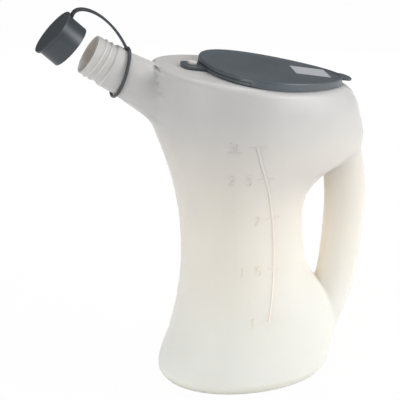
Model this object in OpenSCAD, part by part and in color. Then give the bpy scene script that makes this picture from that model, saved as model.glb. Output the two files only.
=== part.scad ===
// Three litre pouring jug: a blow moulded body with a hand grip and a slanted spout,
// a snap-on filling lid on a tether, and a screw cap hanging from a strap.
// Frame: origin on the floor under the middle of the body, +Z up, spout towards -X,
// grip towards +X, scale on the -Y side.

/* [Body] */
// Height of the flat shoulder that the lid sits on, above the middle of the base
shoulder_h = 292; // [262:1:322]
// Reach of the body forwards at the shoulder, without the spout
front_reach = 84; // [76:1:92]
// Reach of the grip backwards
back_reach = 118.5; // [106:0.5:130]
// Width of the body across the shoulder
body_w = 145; // [130:1:160]
// Slope of the shoulder, down towards the grip, in degrees
shoulder_tilt = 8.7; // [4:0.1:12]
// Wall of the moulded body
wall = 1.8; // [1.2:0.1:2.4]
// Rounding where the walls meet the base
base_round = 17; // [12:1:20]
// Rounding where the walls meet the shoulder
shoulder_round = 6; // [4:0.5:8]

/* [Grip] */
// Depth of the grip, front to back
grip_depth = 38; // [34:0.5:41]
// Width of the grip, side to side
grip_w = 31; // [27:0.5:35]

/* [Spout] */
// Rise of the spout's axis above the horizontal, in degrees
spout_rise = 31.8; // [28:0.1:36]
// Length of the spout from its root to its mouth
spout_len = 58; // [54:0.5:66]
// Outer radius of the spout at its root
spout_root_r = 21.9; // [20:0.1:24]
// Outer radius of the neck where it carries the loose ring
neck_r = 19.4; // [18.4:0.1:20.2]
// Outer radius of the thread's core at the mouth
mouth_r = 17.9; // [17:0.1:18.4]
// Height of the thread's ridge over its core
thread_h = 1; // [0.8:0.1:1.3]
// Length of the threaded end
thread_len = 19; // [16:0.5:21]

/* [Filling lid] */
// Length of the lid over its skirt, without the tab
lid_len = 131; // [124:0.5:134]
// Width that the lid's egg shape is drawn from
lid_w = 131; // [124:0.5:134]
// How much blunter the lid is towards the spout
lid_blunt = 0.33; // [0.25:0.01:0.4]
// Height of the lid
lid_h = 7; // [6:0.1:9]
// Plate of the lid
lid_plate = 1.8; // [1.4:0.1:2.4]
// Wall of the lid's skirt
skirt_wall = 2; // [1.6:0.1:2.6]
// Height of the raised rim above the lid's plate
rim_rise = 1.2; // [0.8:0.1:1.6]
// Width of the raised rim
rim_w = 2.6; // [2:0.1:3.4]
// Distance that the pull tab stands out
tab_out = 9; // [7:0.5:12]
// Width of the pull tab
tab_w = 26; // [20:1:32]

/* [Lid tether] */
// Height of the tether's band
band_h = 3; // [2.4:0.1:3.4]
// Slot between the band and the lid above it
band_slot = 0.9; // [0.7:0.1:1.2]
// Half of the angle that the band runs round the lid, in degrees
band_half_angle = 54; // [46:1:60]
// Width of the tether's tongue
tongue_w = 27; // [22:1:30]
// Reach of the tongue in front of the lid
tongue_out = 19; // [16:0.5:20]
// Thickness of the tongue
tongue_t = 2.6; // [2:0.1:3]
// Radius of the stud that holds the tongue
stud_r = 3.6; // [3:0.1:4.2]
// Distance from the lid's front edge to the middle of the stud
stud_out = 9; // [7.5:0.5:11]
// Height of the stud above the shoulder
stud_h = 6; // [5:0.1:7.5]

/* [Spout cap] */
// Length of the cap over its flange
cap_len = 21; // [19:0.5:24]
// Outer radius of the cap's skirt
cap_r = 20.1; // [19.9:0.05:20.6]
// Thickness of the cap's flange
flange_t = 2.2; // [1.6:0.1:2.8]
// Distance that the flange stands out past the skirt
flange_out = 2.1; // [1.4:0.1:2.6]

/* [Ring and strap] */
// Inner radius of the loose ring
ring_r = 20.3; // [20.1:0.05:20.6]
// Thickness of the ring, across its section
ring_t = 3; // [2.4:0.1:3.4]
// Width of the strap
strap_w = 8; // [6:0.5:9]
// Thickness of the strap
strap_t = 2.2; // [1.6:0.1:2.4]

/* [Hanging cap] */
// Distance from the mouth to the hanging cap's flange
cap_away = 37; // [34:0.5:42]
// Tilt of the hanging cap against the spout
cap_tilt = 11; // [4:1:16]
// Height of the hanging cap over the spout's axis
cap_up = 1.8; // [0:0.1:4]
// Distance from the spout's root to the loose ring
ring_at = 25.5; // [24:0.5:30]
// Tilt of the loose ring against the neck
ring_tilt = 11.5; // [6:0.5:13]
// Sweep of the strap where it leaves the ring
strap_rise = 34; // [28:1:38]
// Lean of the strap towards the cap where it leaves the ring, in degrees
strap_from_angle = 25; // [18:1:30]
// Sweep of the strap where it reaches the cap
strap_reach = 11; // [9:1:16]
// Lean of the strap over the cap's flange, in degrees
strap_to_angle = 20; // [14:1:24]

/* [Scale] */
// Height of the embossed marks over the wall
mark_rise = 0.5; // [0.3:0.1:0.8]
// Width of the embossed ticks and figures
mark_w = 1; // [0.8:0.1:1.4]
// Width of the upright line that joins the ticks
line_w = 2.2; // [1:0.1:3]
// Half of the length of a tick
tick_half = 8; // [6:0.5:10]
// Height of the figures
figure_h = 9; // [7:0.5:11]
// Distance from the front wall back to the scale's upright line
scale_back = 73; // [64:1:80]

/* [Label] */
// Length of the blank label on the lid
label_len = 32; // [26:1:36]
// Width of the blank label
label_w = 35; // [28:1:38]

/* [Hidden] */

// Running clearance between pieces that touch in use
fit = 0.3;
// Overlap that makes a union or a cut certain
bite = 0.5;

// Side profiles of the body, as [share of the shoulder height, share of the reach]
front_line = [[0, -0.95], [0.05, -0.945], [0.1, -0.905], [0.16, -0.825], [0.24, -0.75], [0.34, -0.69],
    [0.44, -0.672], [0.55, -0.695], [0.65, -0.76], [0.73, -0.845], [0.8, -0.93], [0.88, -0.985], [1, -1]];
back_line = [[0, 0.705], [0.06, 0.72], [0.15, 0.76], [0.21, 0.745], [0.27, 0.68], [0.32, 0.6],
    [0.37, 0.525], [0.42, 0.492], [0.54, 0.468], [0.6, 0.485], [0.65, 0.545], [0.7, 0.67], [0.745, 0.83],
    [0.79, 0.93], [0.84, 0.953], [0.89, 0.93], [0.94, 0.9], [0.97, 0.865], [1, 0.82]];
// Half width of the body, as [share of the height, share of the half width]
width_line = [[0, 0.83], [0.08, 0.83], [0.2, 0.77], [0.35, 0.715], [0.48, 0.71], [0.6, 0.77], [0.72, 0.88],
    [0.84, 0.975], [0.93, 1], [1, 0.985]];
// Blunting of the body's plan towards the spout, as [share of the height, blunting]
blunt_line = [[0, 0.05], [0.2, 0.12], [0.5, 0.1], [0.7, 0.25], [0.85, 0.3], [1, 0.27]];
// Power of the plan's front half, 2 for an ellipse and less for a pointed front
front_power_line = [[0, 2], [0.6, 2], [0.8, 1.8], [1, 1.55]];
// Middle of the grip, as [share of the height, share of the reach]
grip_line = [[0, 0.34], [0.05, 0.46], [0.1, 0.57], [0.17, 0.66], [0.25, 0.74], [0.33, 0.79],
    [0.41, 0.815], [0.5, 0.832], [0.58, 0.838], [0.66, 0.825], [0.73, 0.79], [0.8, 0.72], [0.88, 0.6],
    [1, 0.45]];
// Width of the soft joint between body and grip, and between body and spout
grip_blend = 13.04;
spout_blend = 24.9;

// The shoulder plane
slope = tan(shoulder_tilt);
function shoulder_z(x) = shoulder_h - x * slope;

// The spout's axis runs from its root in the shoulder's front edge to its mouth
spout_dir = [-cos(spout_rise), sin(spout_rise)];
spout_up = [sin(spout_rise), cos(spout_rise)];
crease_x = -(front_reach - shoulder_round);
spout_root = [crease_x, shoulder_z(crease_x)] - spout_root_r * spout_up;
// Length of the spout's cone, from its root to the straight neck
cone_len = 24;
spout_flare = (spout_root_r - neck_r) / cone_len;
// Depth over which the soft joint between spout and body grows
blend_run = 34;
// Depth that the spout's form reaches into the body before it fades out
spout_sink = 40;

// A smooth line through control points, with its slope worked out at each of them
function last(p) = len(p) - 1;
function last_of(p) = p[last(p)][1];
function step_slope(p, i) = (p[i + 1][1] - p[i][1]) / (p[i + 1][0] - p[i][0]);
function point_slope(p, i) = i == 0 ? step_slope(p, 0)
    : i == last(p) ? step_slope(p, i - 1)
    : (p[i + 1][1] - p[i - 1][1]) / (p[i + 1][0] - p[i - 1][0]);
function span(p, x, i = 0) = i >= last(p) - 1 || x < p[i + 1][0] ? i : span(p, x, i + 1);
function through(p, x_asked) =
    let (x = min(max(x_asked, p[0][0]), p[last(p)][0]), i = span(p, x), h = p[i + 1][0] - p[i][0],
        t = (x - p[i][0]) / h)
    (1 + 2 * t) * (1 - t) * (1 - t) * p[i][1] + t * (1 - t) * (1 - t) * h * point_slope(p, i)
    + t * t * (3 - 2 * t) * p[i + 1][1] - t * t * (1 - t) * h * point_slope(p, i + 1);

function soft_max(a, b, blend) = (a + b + sqrt((a - b) * (a - b) + blend * blend)) / 2;
function eased(t) = let (c = min(max(t, 0), 1)) c * c * (3 - 2 * c);
function inset(depth, r) = depth >= r ? 0 : r - sqrt(max(r * r - (r - depth) * (r - depth), 0));

// Height share of a point: level at the base, and parallel to the shoulder at the top
function height_share(p) =
    let (raised = p[1] + slope * p[0], lean = raised / shoulder_h)
    (p[1] + slope * p[0] * lean * lean) / shoulder_h;

// Square of the half width at a point of the middle plane, below 0 outside the body.
// skin is the depth under the outer surface, 0 outside and the wall for the hollow.
function body_square(p, skin) =
    let (s = height_share(p), top = shoulder_h * (1 - s) - skin, low = p[1] - skin,
        cut = skin + inset(top, shoulder_round) + inset(low, base_round),
        front = through(front_line, s) * front_reach + cut,
        back = through(back_line, s) * back_reach - cut,
        half = through(width_line, s) * body_w / 2 - cut,
        u = (p[0] - (front + back) / 2) / ((back - front) / 2),
        power = u < 0 ? through(front_power_line, s) : 2,
        across = half * (1 - through(blunt_line, s) * u))
    across * across * (1 - pow(abs(u), power));
function grip_square(p, skin) =
    let (mid = through(grip_line, p[1] / shoulder_h) * back_reach, half = grip_w / 2 - skin,
        u = (p[0] - mid) / (grip_depth / 2 - skin))
    half * half * (1 - u * u);
function spout_along(p) = (p - spout_root) * spout_dir;
function spout_square(p, skin) =
    let (along = spout_along(p), off = (p - spout_root) * spout_up, past = max(-along - spout_sink, 0),
        r = spout_root_r - spout_flare * along - skin)
    r * r - off * off - past * past;
function skin_square(p, skin) =
    soft_max(soft_max(body_square(p, skin), grip_square(p, skin), grip_blend * grip_blend),
        spout_square(p, skin), 1 + spout_blend * spout_blend * eased(-spout_along(p) / blend_run));
function wall_y(p) = -sqrt(skin_square(p, 0));

// Lines fan out from a spine in the hand hole towards points on the body's outline.
// Each is [height of its start, direction in degrees].
spine_x = 0.585 * back_reach;
spine_low = 0.39 * shoulder_h;
spine_high = 0.615 * shoulder_h;
function toward(start, p) = [start, (atan2(p[1] - start, p[0] - spine_x) + 360) % 360];
function between(a, b, n) = [for (i = [0:n - 1]) a + (b - a) * i / n];
function corner(middle, r, from) = [for (i = [0:5]) middle + r * [cos(from + 15 * i), sin(from + 15 * i)]];
foot_front = [front_line[0][1] * front_reach + base_round, base_round];
foot_back = [back_line[0][1] * back_reach - base_round, base_round];
crease = [crease_x, shoulder_z(crease_x)];
back_corner_x = last_of(back_line) * back_reach - shoulder_round;
back_corner = [back_corner_x, shoulder_z(back_corner_x)];
spout_low = spout_root - spout_root_r * spout_up;
high_targets = concat(
    between([back_reach, spine_high], [0.93 * back_reach, 0.89 * shoulder_h], 7),
    between([0.93 * back_reach, 0.89 * shoulder_h], back_corner, 3),
    between(back_corner, crease, 10),
    [for (i = [0:7]) crease + (spout_low - crease) * (1 - cos(22.5 * i)) / 2],
    between(spout_low, [-front_reach, 0.84 * shoulder_h], 8),
    between([-front_reach, 0.84 * shoulder_h], [-0.75 * front_reach, spine_high], 6));
low_targets = concat(
    between([-0.72 * front_reach, spine_low], foot_front - [base_round, 0], 6),
    corner(foot_front, base_round, 180),
    between(foot_front - [0, base_round], foot_back - [0, base_round], 7),
    corner(foot_back, base_round, 270),
    between(foot_back + [base_round, 0], [back_reach, spine_low - 1], 6));
fan = concat(
    [for (p = high_targets) toward(spine_high, p)],
    [for (z = between(spine_high, spine_low, 5)) [z, 180]],
    [for (p = low_targets) toward(spine_low, p)],
    [for (z = between(spine_low, spine_high, 5)) [z, 360]]);

// Distances along a line: to the hand hole's edge, and on to the outline
function at(line, s) = [spine_x + s * cos(line[1]), line[0] + s * sin(line[1])];
function narrowed(line, skin, lo, hi, lo_in, n) =
    n == 0 ? (lo + hi) / 2
    : let (mid = (lo + hi) / 2, inside = skin_square(at(line, mid), skin) > 0)
    inside == lo_in ? narrowed(line, skin, mid, hi, lo_in, n - 1)
        : narrowed(line, skin, lo, mid, lo_in, n - 1);
function first_inside(line, skin, s) =
    skin_square(at(line, s), skin) > 0 || s > 60 ? s : first_inside(line, skin, s + 1.5);
function hole_edge(line, skin) =
    let (s = first_inside(line, skin, 0)) s == 0 ? 0 : narrowed(line, skin, s - 1.5, s, false, 14);
function plane_hit(line, level, normal) =
    let (rate = [cos(line[1]), sin(line[1])] * normal)
    rate <= 0.001 ? 1000 : (level - at(line, 0) * normal) / rate;
function first_outside(line, skin, s, limit) =
    s > limit ? limit : skin_square(at(line, s), skin) < 0 ? s : first_outside(line, skin, s + 6, limit);
function outline(line, skin, from) =
    let (base_hit = plane_hit(line, -skin, [0, -1]),
        top_hit = plane_hit(line, shoulder_h - skin, [slope, 1]),
        root_hit = plane_hit(line, spout_root * spout_dir - skin, spout_dir),
        limit = min(base_hit, top_hit, root_hit), s = first_outside(line, skin, from + 3, limit))
    skin_square(at(line, s), skin) > 0 ? s : narrowed(line, skin, s - 6, s, true, 16);

// One closed loop of skin points on each fan line, with a narrow flat for the mould's seam
seam = 0.35;
loop_steps = 12;
function loop_points(line, skin, m) =
    let (from = hole_edge(line, skin), to = outline(line, skin, from),
        side = [for (j = [0:m])
            let (s = from + (to - from) * (1 - cos(180 * j / m)) / 2, p = at(line, s))
            [p[0], max(sqrt(max(skin_square(p, skin), 0)), seam), p[1]]])
    concat(side, [for (j = [m:-1:0]) [side[j][0], -side[j][1], side[j][2]]]);
function flat_list(lists) = [for (a = lists) each a];
function ring_faces(rings, per) = [for (i = [0:rings - 1], j = [0:per - 1])
    let (a = i * per, b = ((i + 1) % rings) * per, k = (j + 1) % per)
    each [[a + j, a + k, b + k], [a + j, b + k, b + j]]];
module skin_solid(skin) {
    points = flat_list([for (l = fan) loop_points(l, skin, loop_steps)]);
    polyhedron(points, ring_faces(len(fan), 2 * (loop_steps + 1)), convexity = 6);
}

// The lid's egg shaped outline, drawn inside its edge by a distance
lid_x = 26;
egg_step = 5;
function egg(in) = [for (t = [0:egg_step:360 - egg_step])
    [(lid_len / 2 - in) * cos(t), (lid_w / 2 - in) * sin(t) * (1 - lid_blunt * cos(t))]];
module egg_plate(in, h) { linear_extrude(h) polygon(egg(in)); }
module on_shoulder(up = 0) {
    translate([lid_x, 0, shoulder_z(lid_x)]) rotate([0, shoulder_tilt, 0]) translate([0, 0, up]) children();
}
// Room under the lid's plate, for the collar that it snaps over
under_plate = lid_h - rim_rise - lid_plate;
plate_top = lid_h - rim_rise;
collar_in = skirt_wall + fit;
stud_x = -lid_len / 2 - stud_out;

// Places along the spout's axis, measured from its root towards the mouth
module on_spout(along = 0) {
    translate([spout_root[0], 0, spout_root[1]]) rotate([0, spout_rise - 90, 0]) translate([0, 0, along])
        children();
}
neck_end = spout_len - thread_len;
thread_crest_r = mouth_r + thread_h;
edge_break = 0.6;
// Depth that the neck reaches into the body, and that its bore is cut
neck_sink = 4;
bore_sink = 14;

module neck() {
    root_r = spout_root_r - bite;
    on_spout() rotate_extrude($fn = 64)
        polygon([[0, -neck_sink], [root_r, -neck_sink], [root_r, 0], [neck_r, cone_len], [neck_r, neck_end],
            [thread_crest_r, neck_end + thread_h], [mouth_r, neck_end + 2 * thread_h],
            [mouth_r, spout_len - edge_break], [mouth_r - edge_break, spout_len], [0, spout_len]]);
}
module neck_bore() {
    root_r = spout_root_r - wall - thread_h;
    on_spout() rotate_extrude($fn = 64)
        polygon([[0, -bore_sink], [root_r, -bore_sink], [root_r, 0], [neck_r - wall, cone_len],
            [neck_r - wall, neck_end], [mouth_r - wall, neck_end + thread_h],
            [mouth_r - wall, spout_len + bite], [0, spout_len + bite]]);
}

// The scale is embossed on the wall: an upright line, a tick for each amount, and its figures.
// Each mark is [share of the shoulder height, figures].
marks = [[0.25, ["1"]], [0.418, ["1", ".", "5"]], [0.586, ["2"]], [0.726, ["2", ".", "5"]],
    [0.832, ["3", "L"]]];
// The strokes of a figure, in a square from 0 to 1
function figure(name) =
    name == "1" ? [[[0.7, 0], [0.7, 1]]]
    : name == "2" ? [[[0, 1], [1, 1]], [[1, 1], [1, 0.5]], [[0, 0.5], [1, 0.5]], [[0, 0.5], [0, 0]],
        [[0, 0], [1, 0]]]
    : name == "3" ? [[[0, 1], [1, 1]], [[0.2, 0.5], [1, 0.5]], [[0, 0], [1, 0]], [[1, 0], [1, 1]]]
    : name == "5" ? [[[0, 1], [1, 1]], [[0, 1], [0, 0.5]], [[0, 0.5], [1, 0.5]], [[1, 0.5], [1, 0]],
        [[0, 0], [1, 0]]]
    : name == "L" ? [[[0, 0], [0, 1]], [[0, 0], [0.9, 0]]]
    : [[[0.5, 0], [0.5, 0.05]]];
// Depth that the marks reach into the wall
mark_root = 1.1;
figure_w = 0.55 * figure_h;
figure_step = figure_w + 2.6 * mark_w;
// The upright line runs from the lowest to the highest tick
line_steps = 14;
function scale_x(z) = through(front_line, z / shoulder_h) * front_reach + scale_back;
module stroke(a, b, w = mark_w) {
    p = (a + b) / 2;
    run = b - a;
    y = wall_y(p);
    across = (skin_square(p + [1, 0], 0) - skin_square(p - [1, 0], 0)) / 2;
    upward = (skin_square(p + [0, 1], 0) - skin_square(p - [0, 1], 0)) / 2;
    out = [-across, 2 * y, -upward] / norm([across, 2 * y, upward]);
    translate([p[0], y, p[1]]) rotate([0, 0, atan2(out[0], -out[1])]) rotate([-asin(out[2]), 0, 0])
        rotate([0, -atan2(run[1], run[0]), 0]) translate([0, (mark_root - mark_rise) / 2, 0])
        cube([norm(run) + w, mark_rise + mark_root, w], center = true);
}
module mark(z, name) {
    x = scale_x(z);
    start = [x - tick_half - 2 * mark_w - len(name) * figure_step, z - figure_h / 2];
    stroke([x - tick_half, z], [x + tick_half, z]);
    for (i = [0:last(name)], f = figure(name[i]))
        stroke(start + [i * figure_step + f[0][0] * figure_w, f[0][1] * figure_h],
            start + [i * figure_step + f[1][0] * figure_w, f[1][1] * figure_h]);
}
module scale_marks() {
    for (m = marks) mark(m[0] * shoulder_h, m[1]);
    low = marks[0][0] * shoulder_h;
    high = marks[last(marks)][0] * shoulder_h;
    heights = concat(between(low, high, line_steps), [high]);
    for (i = [0:last(heights) - 1])
        stroke([scale_x(heights[i]), heights[i]], [scale_x(heights[i + 1]), heights[i + 1]], line_w);
}

module jug() {
    color([0.9, 0.9, 0.87]) difference() {
        union() {
            skin_solid(0);
            scale_marks();
            neck();
            on_shoulder(-wall - bite) egg_plate(collar_in, under_plate + wall + bite);
            on_shoulder(-wall) translate([stud_x, 0, 0]) cylinder(r = stud_r, h = wall + stud_h, $fn = 48);
        }
        skin_solid(wall);
        neck_bore();
        on_shoulder(-2 * wall) egg_plate(collar_in + wall, under_plate + 2 * wall + bite);
    }
}

// The sector of the lid's skirt that the tether's band takes up
module band_sector(half_angle) {
    r = lid_len;
    polygon([[0, 0], [-r * cos(half_angle), -r * sin(half_angle)], [-r, -r], [-r, r],
        [-r * cos(half_angle), r * sin(half_angle)]]);
}
// A flat tab with a round end that starts at the origin and reaches along +X
module tab_shape(reach, w) {
    hull() {
        square([1, w], center = true);
        translate([reach - w / 4, 0]) scale([0.5, 1]) circle(d = w, $fn = 32);
    }
}
module lid() {
    rim_taper = 0.5;
    color([0.33, 0.36, 0.38]) on_shoulder(fit) {
        difference() {
            union() {
                egg_plate(0, plate_top);
                egg_plate(rim_taper, lid_h);
            }
            translate([0, 0, plate_top]) egg_plate(rim_w, rim_rise + bite);
            translate([0, 0, -bite]) egg_plate(skirt_wall, under_plate + bite);
            translate([0, 0, -bite]) linear_extrude(band_h + band_slot + bite) difference() {
                band_sector(band_half_angle);
                polygon(egg(2 * skirt_wall));
            }
        }
        translate([lid_len / 2 - rim_w, 0, plate_top - lid_plate]) linear_extrude(lid_plate)
            tab_shape(rim_w + tab_out, tab_w);
    }
}
// The band round the lid's front edge and the tongue that is pressed over the stud
module lid_tether() {
    end_gap = asin(fit / (lid_w / 2));
    color([0.28, 0.31, 0.33]) on_shoulder(fit) difference() {
        union() {
            linear_extrude(band_h) difference() {
                intersection() {
                    polygon(egg(0));
                    band_sector(band_half_angle - end_gap);
                }
                polygon(egg(skirt_wall));
            }
            linear_extrude(tongue_t) difference() {
                translate([-lid_len / 2 + skirt_wall, 0]) mirror([1, 0])
                    tab_shape(tongue_out + skirt_wall, tongue_w);
                polygon(egg(skirt_wall / 2));
            }
        }
        translate([stud_x, 0, -bite]) cylinder(r = stud_r + fit, h = tongue_t + 2 * bite, $fn = 48);
    }
}

// The blank label lies on the lid's plate, beside its middle and a little turned
label_t = 0.3;
label_turn = -7.5;
label_place = [lid_len / 2 - 28.5, 4];
module label() {
    color([0.9, 0.9, 0.92]) on_shoulder(fit + plate_top) translate(label_place) rotate([0, 0, label_turn])
        translate([-label_len / 2, -label_w / 2, 0]) cube([label_len, label_w, label_t]);
}

// Places in the middle plane, in the spout's own directions: away from its axis, and along it
function spout_place(up, along) = spout_root + up * spout_up + along * spout_dir;

// The hanging cap: its axis runs from the flange's face to its open rim
cap_bore_r = thread_crest_r + fit;
cap_turn = 180 + cap_tilt;
module on_cap() {
    on_spout(spout_len + cap_away) translate([cap_up, 0, 0]) rotate([0, cap_turn, 0]) children();
}
function cap_dir(up, along) = up * (cos(cap_turn) * spout_up - sin(cap_turn) * spout_dir)
    + along * (sin(cap_turn) * spout_up + cos(cap_turn) * spout_dir);
function cap_place(up, along) = spout_place(cap_up, spout_len + cap_away) + cap_dir(up, along);

// The loose ring hangs on the neck, with its top leaning towards the mouth
ring_mid_r = ring_r + ring_t / 2;
ring_drop = 0.25;
ring_top = spout_place(ring_mid_r * cos(ring_tilt) - ring_drop, ring_at + ring_mid_r * sin(ring_tilt));

// The strap is a band along a curve from the ring's lug to the cap's lug
ring_lug = 4;
cap_lug = 2.2;
strap_lift = 0.8;
strap_from_dir = [-sin(strap_from_angle), cos(strap_from_angle)];
strap_to_dir = -cap_dir(cos(strap_to_angle), sin(strap_to_angle));
strap_from = ring_top + ring_lug * spout_dir + strap_lift * spout_up;
cap_lug_root = cap_place(-cap_r, flange_t + strap_t);
strap_to = cap_lug_root + cap_lug * strap_to_dir;
strap_by_ring = strap_from + strap_rise * strap_from_dir;
strap_by_cap = strap_to + strap_reach * strap_to_dir;
function curve(t) = pow(1 - t, 3) * strap_from + 3 * t * pow(1 - t, 2) * strap_by_ring
    + 3 * t * t * (1 - t) * strap_by_cap + t * t * t * strap_to;
strap_steps = 18;
function edge_point(t, side) =
    let (run = curve(min(t + 0.01, 1)) - curve(max(t - 0.01, 0)), d = run / norm(run))
    curve(t) + side * strap_t / 2 * [-d[1], d[0]];
module band(points) {
    translate([0, strap_w / 2, 0]) rotate([90, 0, 0]) linear_extrude(strap_w) polygon(points);
}
module cap_strap() {
    color([0.22, 0.23, 0.25]) band(concat([for (i = [0:strap_steps]) edge_point(i / strap_steps, 1)],
        [for (i = [strap_steps:-1:0]) edge_point(i / strap_steps, -1)]));
}
module spout_cap() {
    flange_r = cap_r + flange_out;
    lug_in = bite - cap_r;
    color([0.2, 0.21, 0.23]) union() {
        on_cap() rotate_extrude($fn = 72)
            polygon([[0, 0], [flange_r - edge_break, 0], [flange_r, edge_break], [flange_r, flange_t - fit],
                [flange_r - fit, flange_t], [cap_r, flange_t], [cap_r, cap_len - fit], [cap_r - fit, cap_len],
                [cap_bore_r, cap_len], [cap_bore_r, flange_t], [0, flange_t]]);
        band([edge_point(1, 1), edge_point(1, -1),
            cap_place(lug_in, flange_t + strap_t / 2), cap_place(lug_in, flange_t + strap_t * 1.5)]);
    }
}
module neck_ring() {
    color([0.2, 0.21, 0.23]) union() {
        on_spout(ring_at) translate([-ring_drop, 0, 0]) rotate([0, -ring_tilt, 0])
            rotate_extrude($fn = 64) translate([ring_mid_r, 0]) circle(d = ring_t, $fn = 20);
        band([edge_point(0, 1) - fit * strap_from_dir, edge_point(0, -1) - fit * strap_from_dir,
            ring_top + ring_t / 3 * spout_up, ring_top - ring_t / 3 * spout_up]);
    }
}

jug();
lid();
lid_tether();
label();
spout_cap();
cap_strap();
neck_ring();
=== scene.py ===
"""Looks of a three litre pouring jug in milky polyethylene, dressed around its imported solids.

Lengths in the classes are millimetres, as on a maker's drawing, and meshes are written in metres.
The frame: origin on the floor under the body, +Z up, spout towards -X, grip towards +X, scale on -Y.
"""

from __future__ import annotations

import logging
import math
from dataclasses import dataclass
from enum import Enum
from typing import Any, Callable, Iterable, Sequence

import bmesh
import bpy
import numpy as np
from mathutils import Matrix, Vector


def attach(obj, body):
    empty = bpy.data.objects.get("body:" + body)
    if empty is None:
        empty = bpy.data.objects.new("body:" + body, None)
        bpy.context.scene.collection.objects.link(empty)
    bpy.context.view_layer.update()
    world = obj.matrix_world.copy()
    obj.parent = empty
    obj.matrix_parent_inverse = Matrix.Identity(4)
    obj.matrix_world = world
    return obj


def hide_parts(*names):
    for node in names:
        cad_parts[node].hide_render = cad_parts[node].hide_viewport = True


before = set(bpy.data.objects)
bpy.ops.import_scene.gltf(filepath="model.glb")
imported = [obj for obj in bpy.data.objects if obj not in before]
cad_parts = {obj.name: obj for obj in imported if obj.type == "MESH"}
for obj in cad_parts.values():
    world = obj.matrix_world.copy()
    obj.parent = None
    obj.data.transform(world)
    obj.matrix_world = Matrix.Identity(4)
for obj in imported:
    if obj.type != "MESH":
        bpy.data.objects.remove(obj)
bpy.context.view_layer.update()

MM = 0.001
PICTURE_PX = 400
log = logging.getLogger("jug")

Point = tuple[float, float]
Point3 = tuple[float, float, float]


class Slot(Enum):
    """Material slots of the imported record."""

    NATURAL = "natural_plastic"
    LID = "lid_plastic"
    CAP = "cap_plastic"
    LABEL = "label"


class Body(Enum):
    """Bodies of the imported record."""

    JUG = "jug"
    LID = "lid"
    RING = "ring"
    CAP = "cap"


class Ends(Enum):
    """What a line of the jug's mesh meets where it leaves the body."""

    SIDE = 0
    BASE = 1
    SHOULDER = 2
    SPOUT = 3


# Colours and nodes


def linear(code: str) -> tuple[float, float, float, float]:
    """Turn an sRGB hex colour into the linear colour that a shader takes.

    Args:
        code: six hex digits with a leading hash.

    Returns:
        Red, green, blue and an alpha of 1.
    """
    parts = [int(code[i : i + 2], 16) / 255 for i in (1, 3, 5)]
    out = [c / 12.92 if c <= 0.04045 else ((c + 0.055) / 1.055) ** 2.4 for c in parts]
    return (out[0], out[1], out[2], 1.0)


def add_node(tree: bpy.types.NodeTree, kind: str, inputs: dict[Any, Any] | None = None, **settings: Any) -> Any:
    """Add a shader node with its settings, values and links.

    Args:
        tree: the node tree that it goes into.
        kind: Blender's name of the node type.
        inputs: input names or numbers, each with a value or an output socket to link.
        **settings: properties of the node itself.

    Returns:
        The new node.
    """
    made = tree.nodes.new(kind)
    for key, value in settings.items():
        setattr(made, key, value)
    for key, value in (inputs or {}).items():
        if isinstance(value, bpy.types.NodeSocket):
            tree.links.new(value, made.inputs[key])
        else:
            made.inputs[key].default_value = value
    return made


def ramp(tree: bpy.types.NodeTree, fac: Any, stops: Sequence[tuple[float, Any]]) -> Any:
    """Add a colour ramp with its stops.

    Args:
        tree: the node tree that it goes into.
        fac: the socket that drives it.
        stops: pairs of a place from 0 to 1 and a linear colour.

    Returns:
        The ramp's colour output.
    """
    made = add_node(tree, "ShaderNodeValToRGB", {"Fac": fac})
    elements = made.color_ramp.elements
    while len(elements) < len(stops):
        elements.new(0.5)
    for element, (place, colour) in zip(elements, stops):
        element.position = place
        element.color = colour
    return made.outputs["Color"]


def grey(value: float) -> tuple[float, float, float, float]:
    """Give a linear grey."""
    return (value, value, value, 1.0)


@dataclass(frozen=True)
class Finish:
    """A finish that a material is made from."""

    name: str
    slot: Slot | None

    def material(self) -> bpy.types.Material:
        """Make the material with its nodes.

        Returns:
            The new material.
        """
        made = bpy.data.materials.new(self.name)
        made.use_nodes = True
        tree = made.node_tree
        tree.nodes.clear()
        output = add_node(tree, "ShaderNodeOutputMaterial")
        tree.links.new(self.shader(tree), output.inputs["Surface"])
        return made

    def shader(self, tree: bpy.types.NodeTree) -> Any:
        """Give the finish's shader output."""
        raise NotImplementedError

    def object_place(self, tree: bpy.types.NodeTree) -> Any:
        """Give the object coordinates' output."""
        return add_node(tree, "ShaderNodeTexCoord").outputs["Object"]


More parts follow.
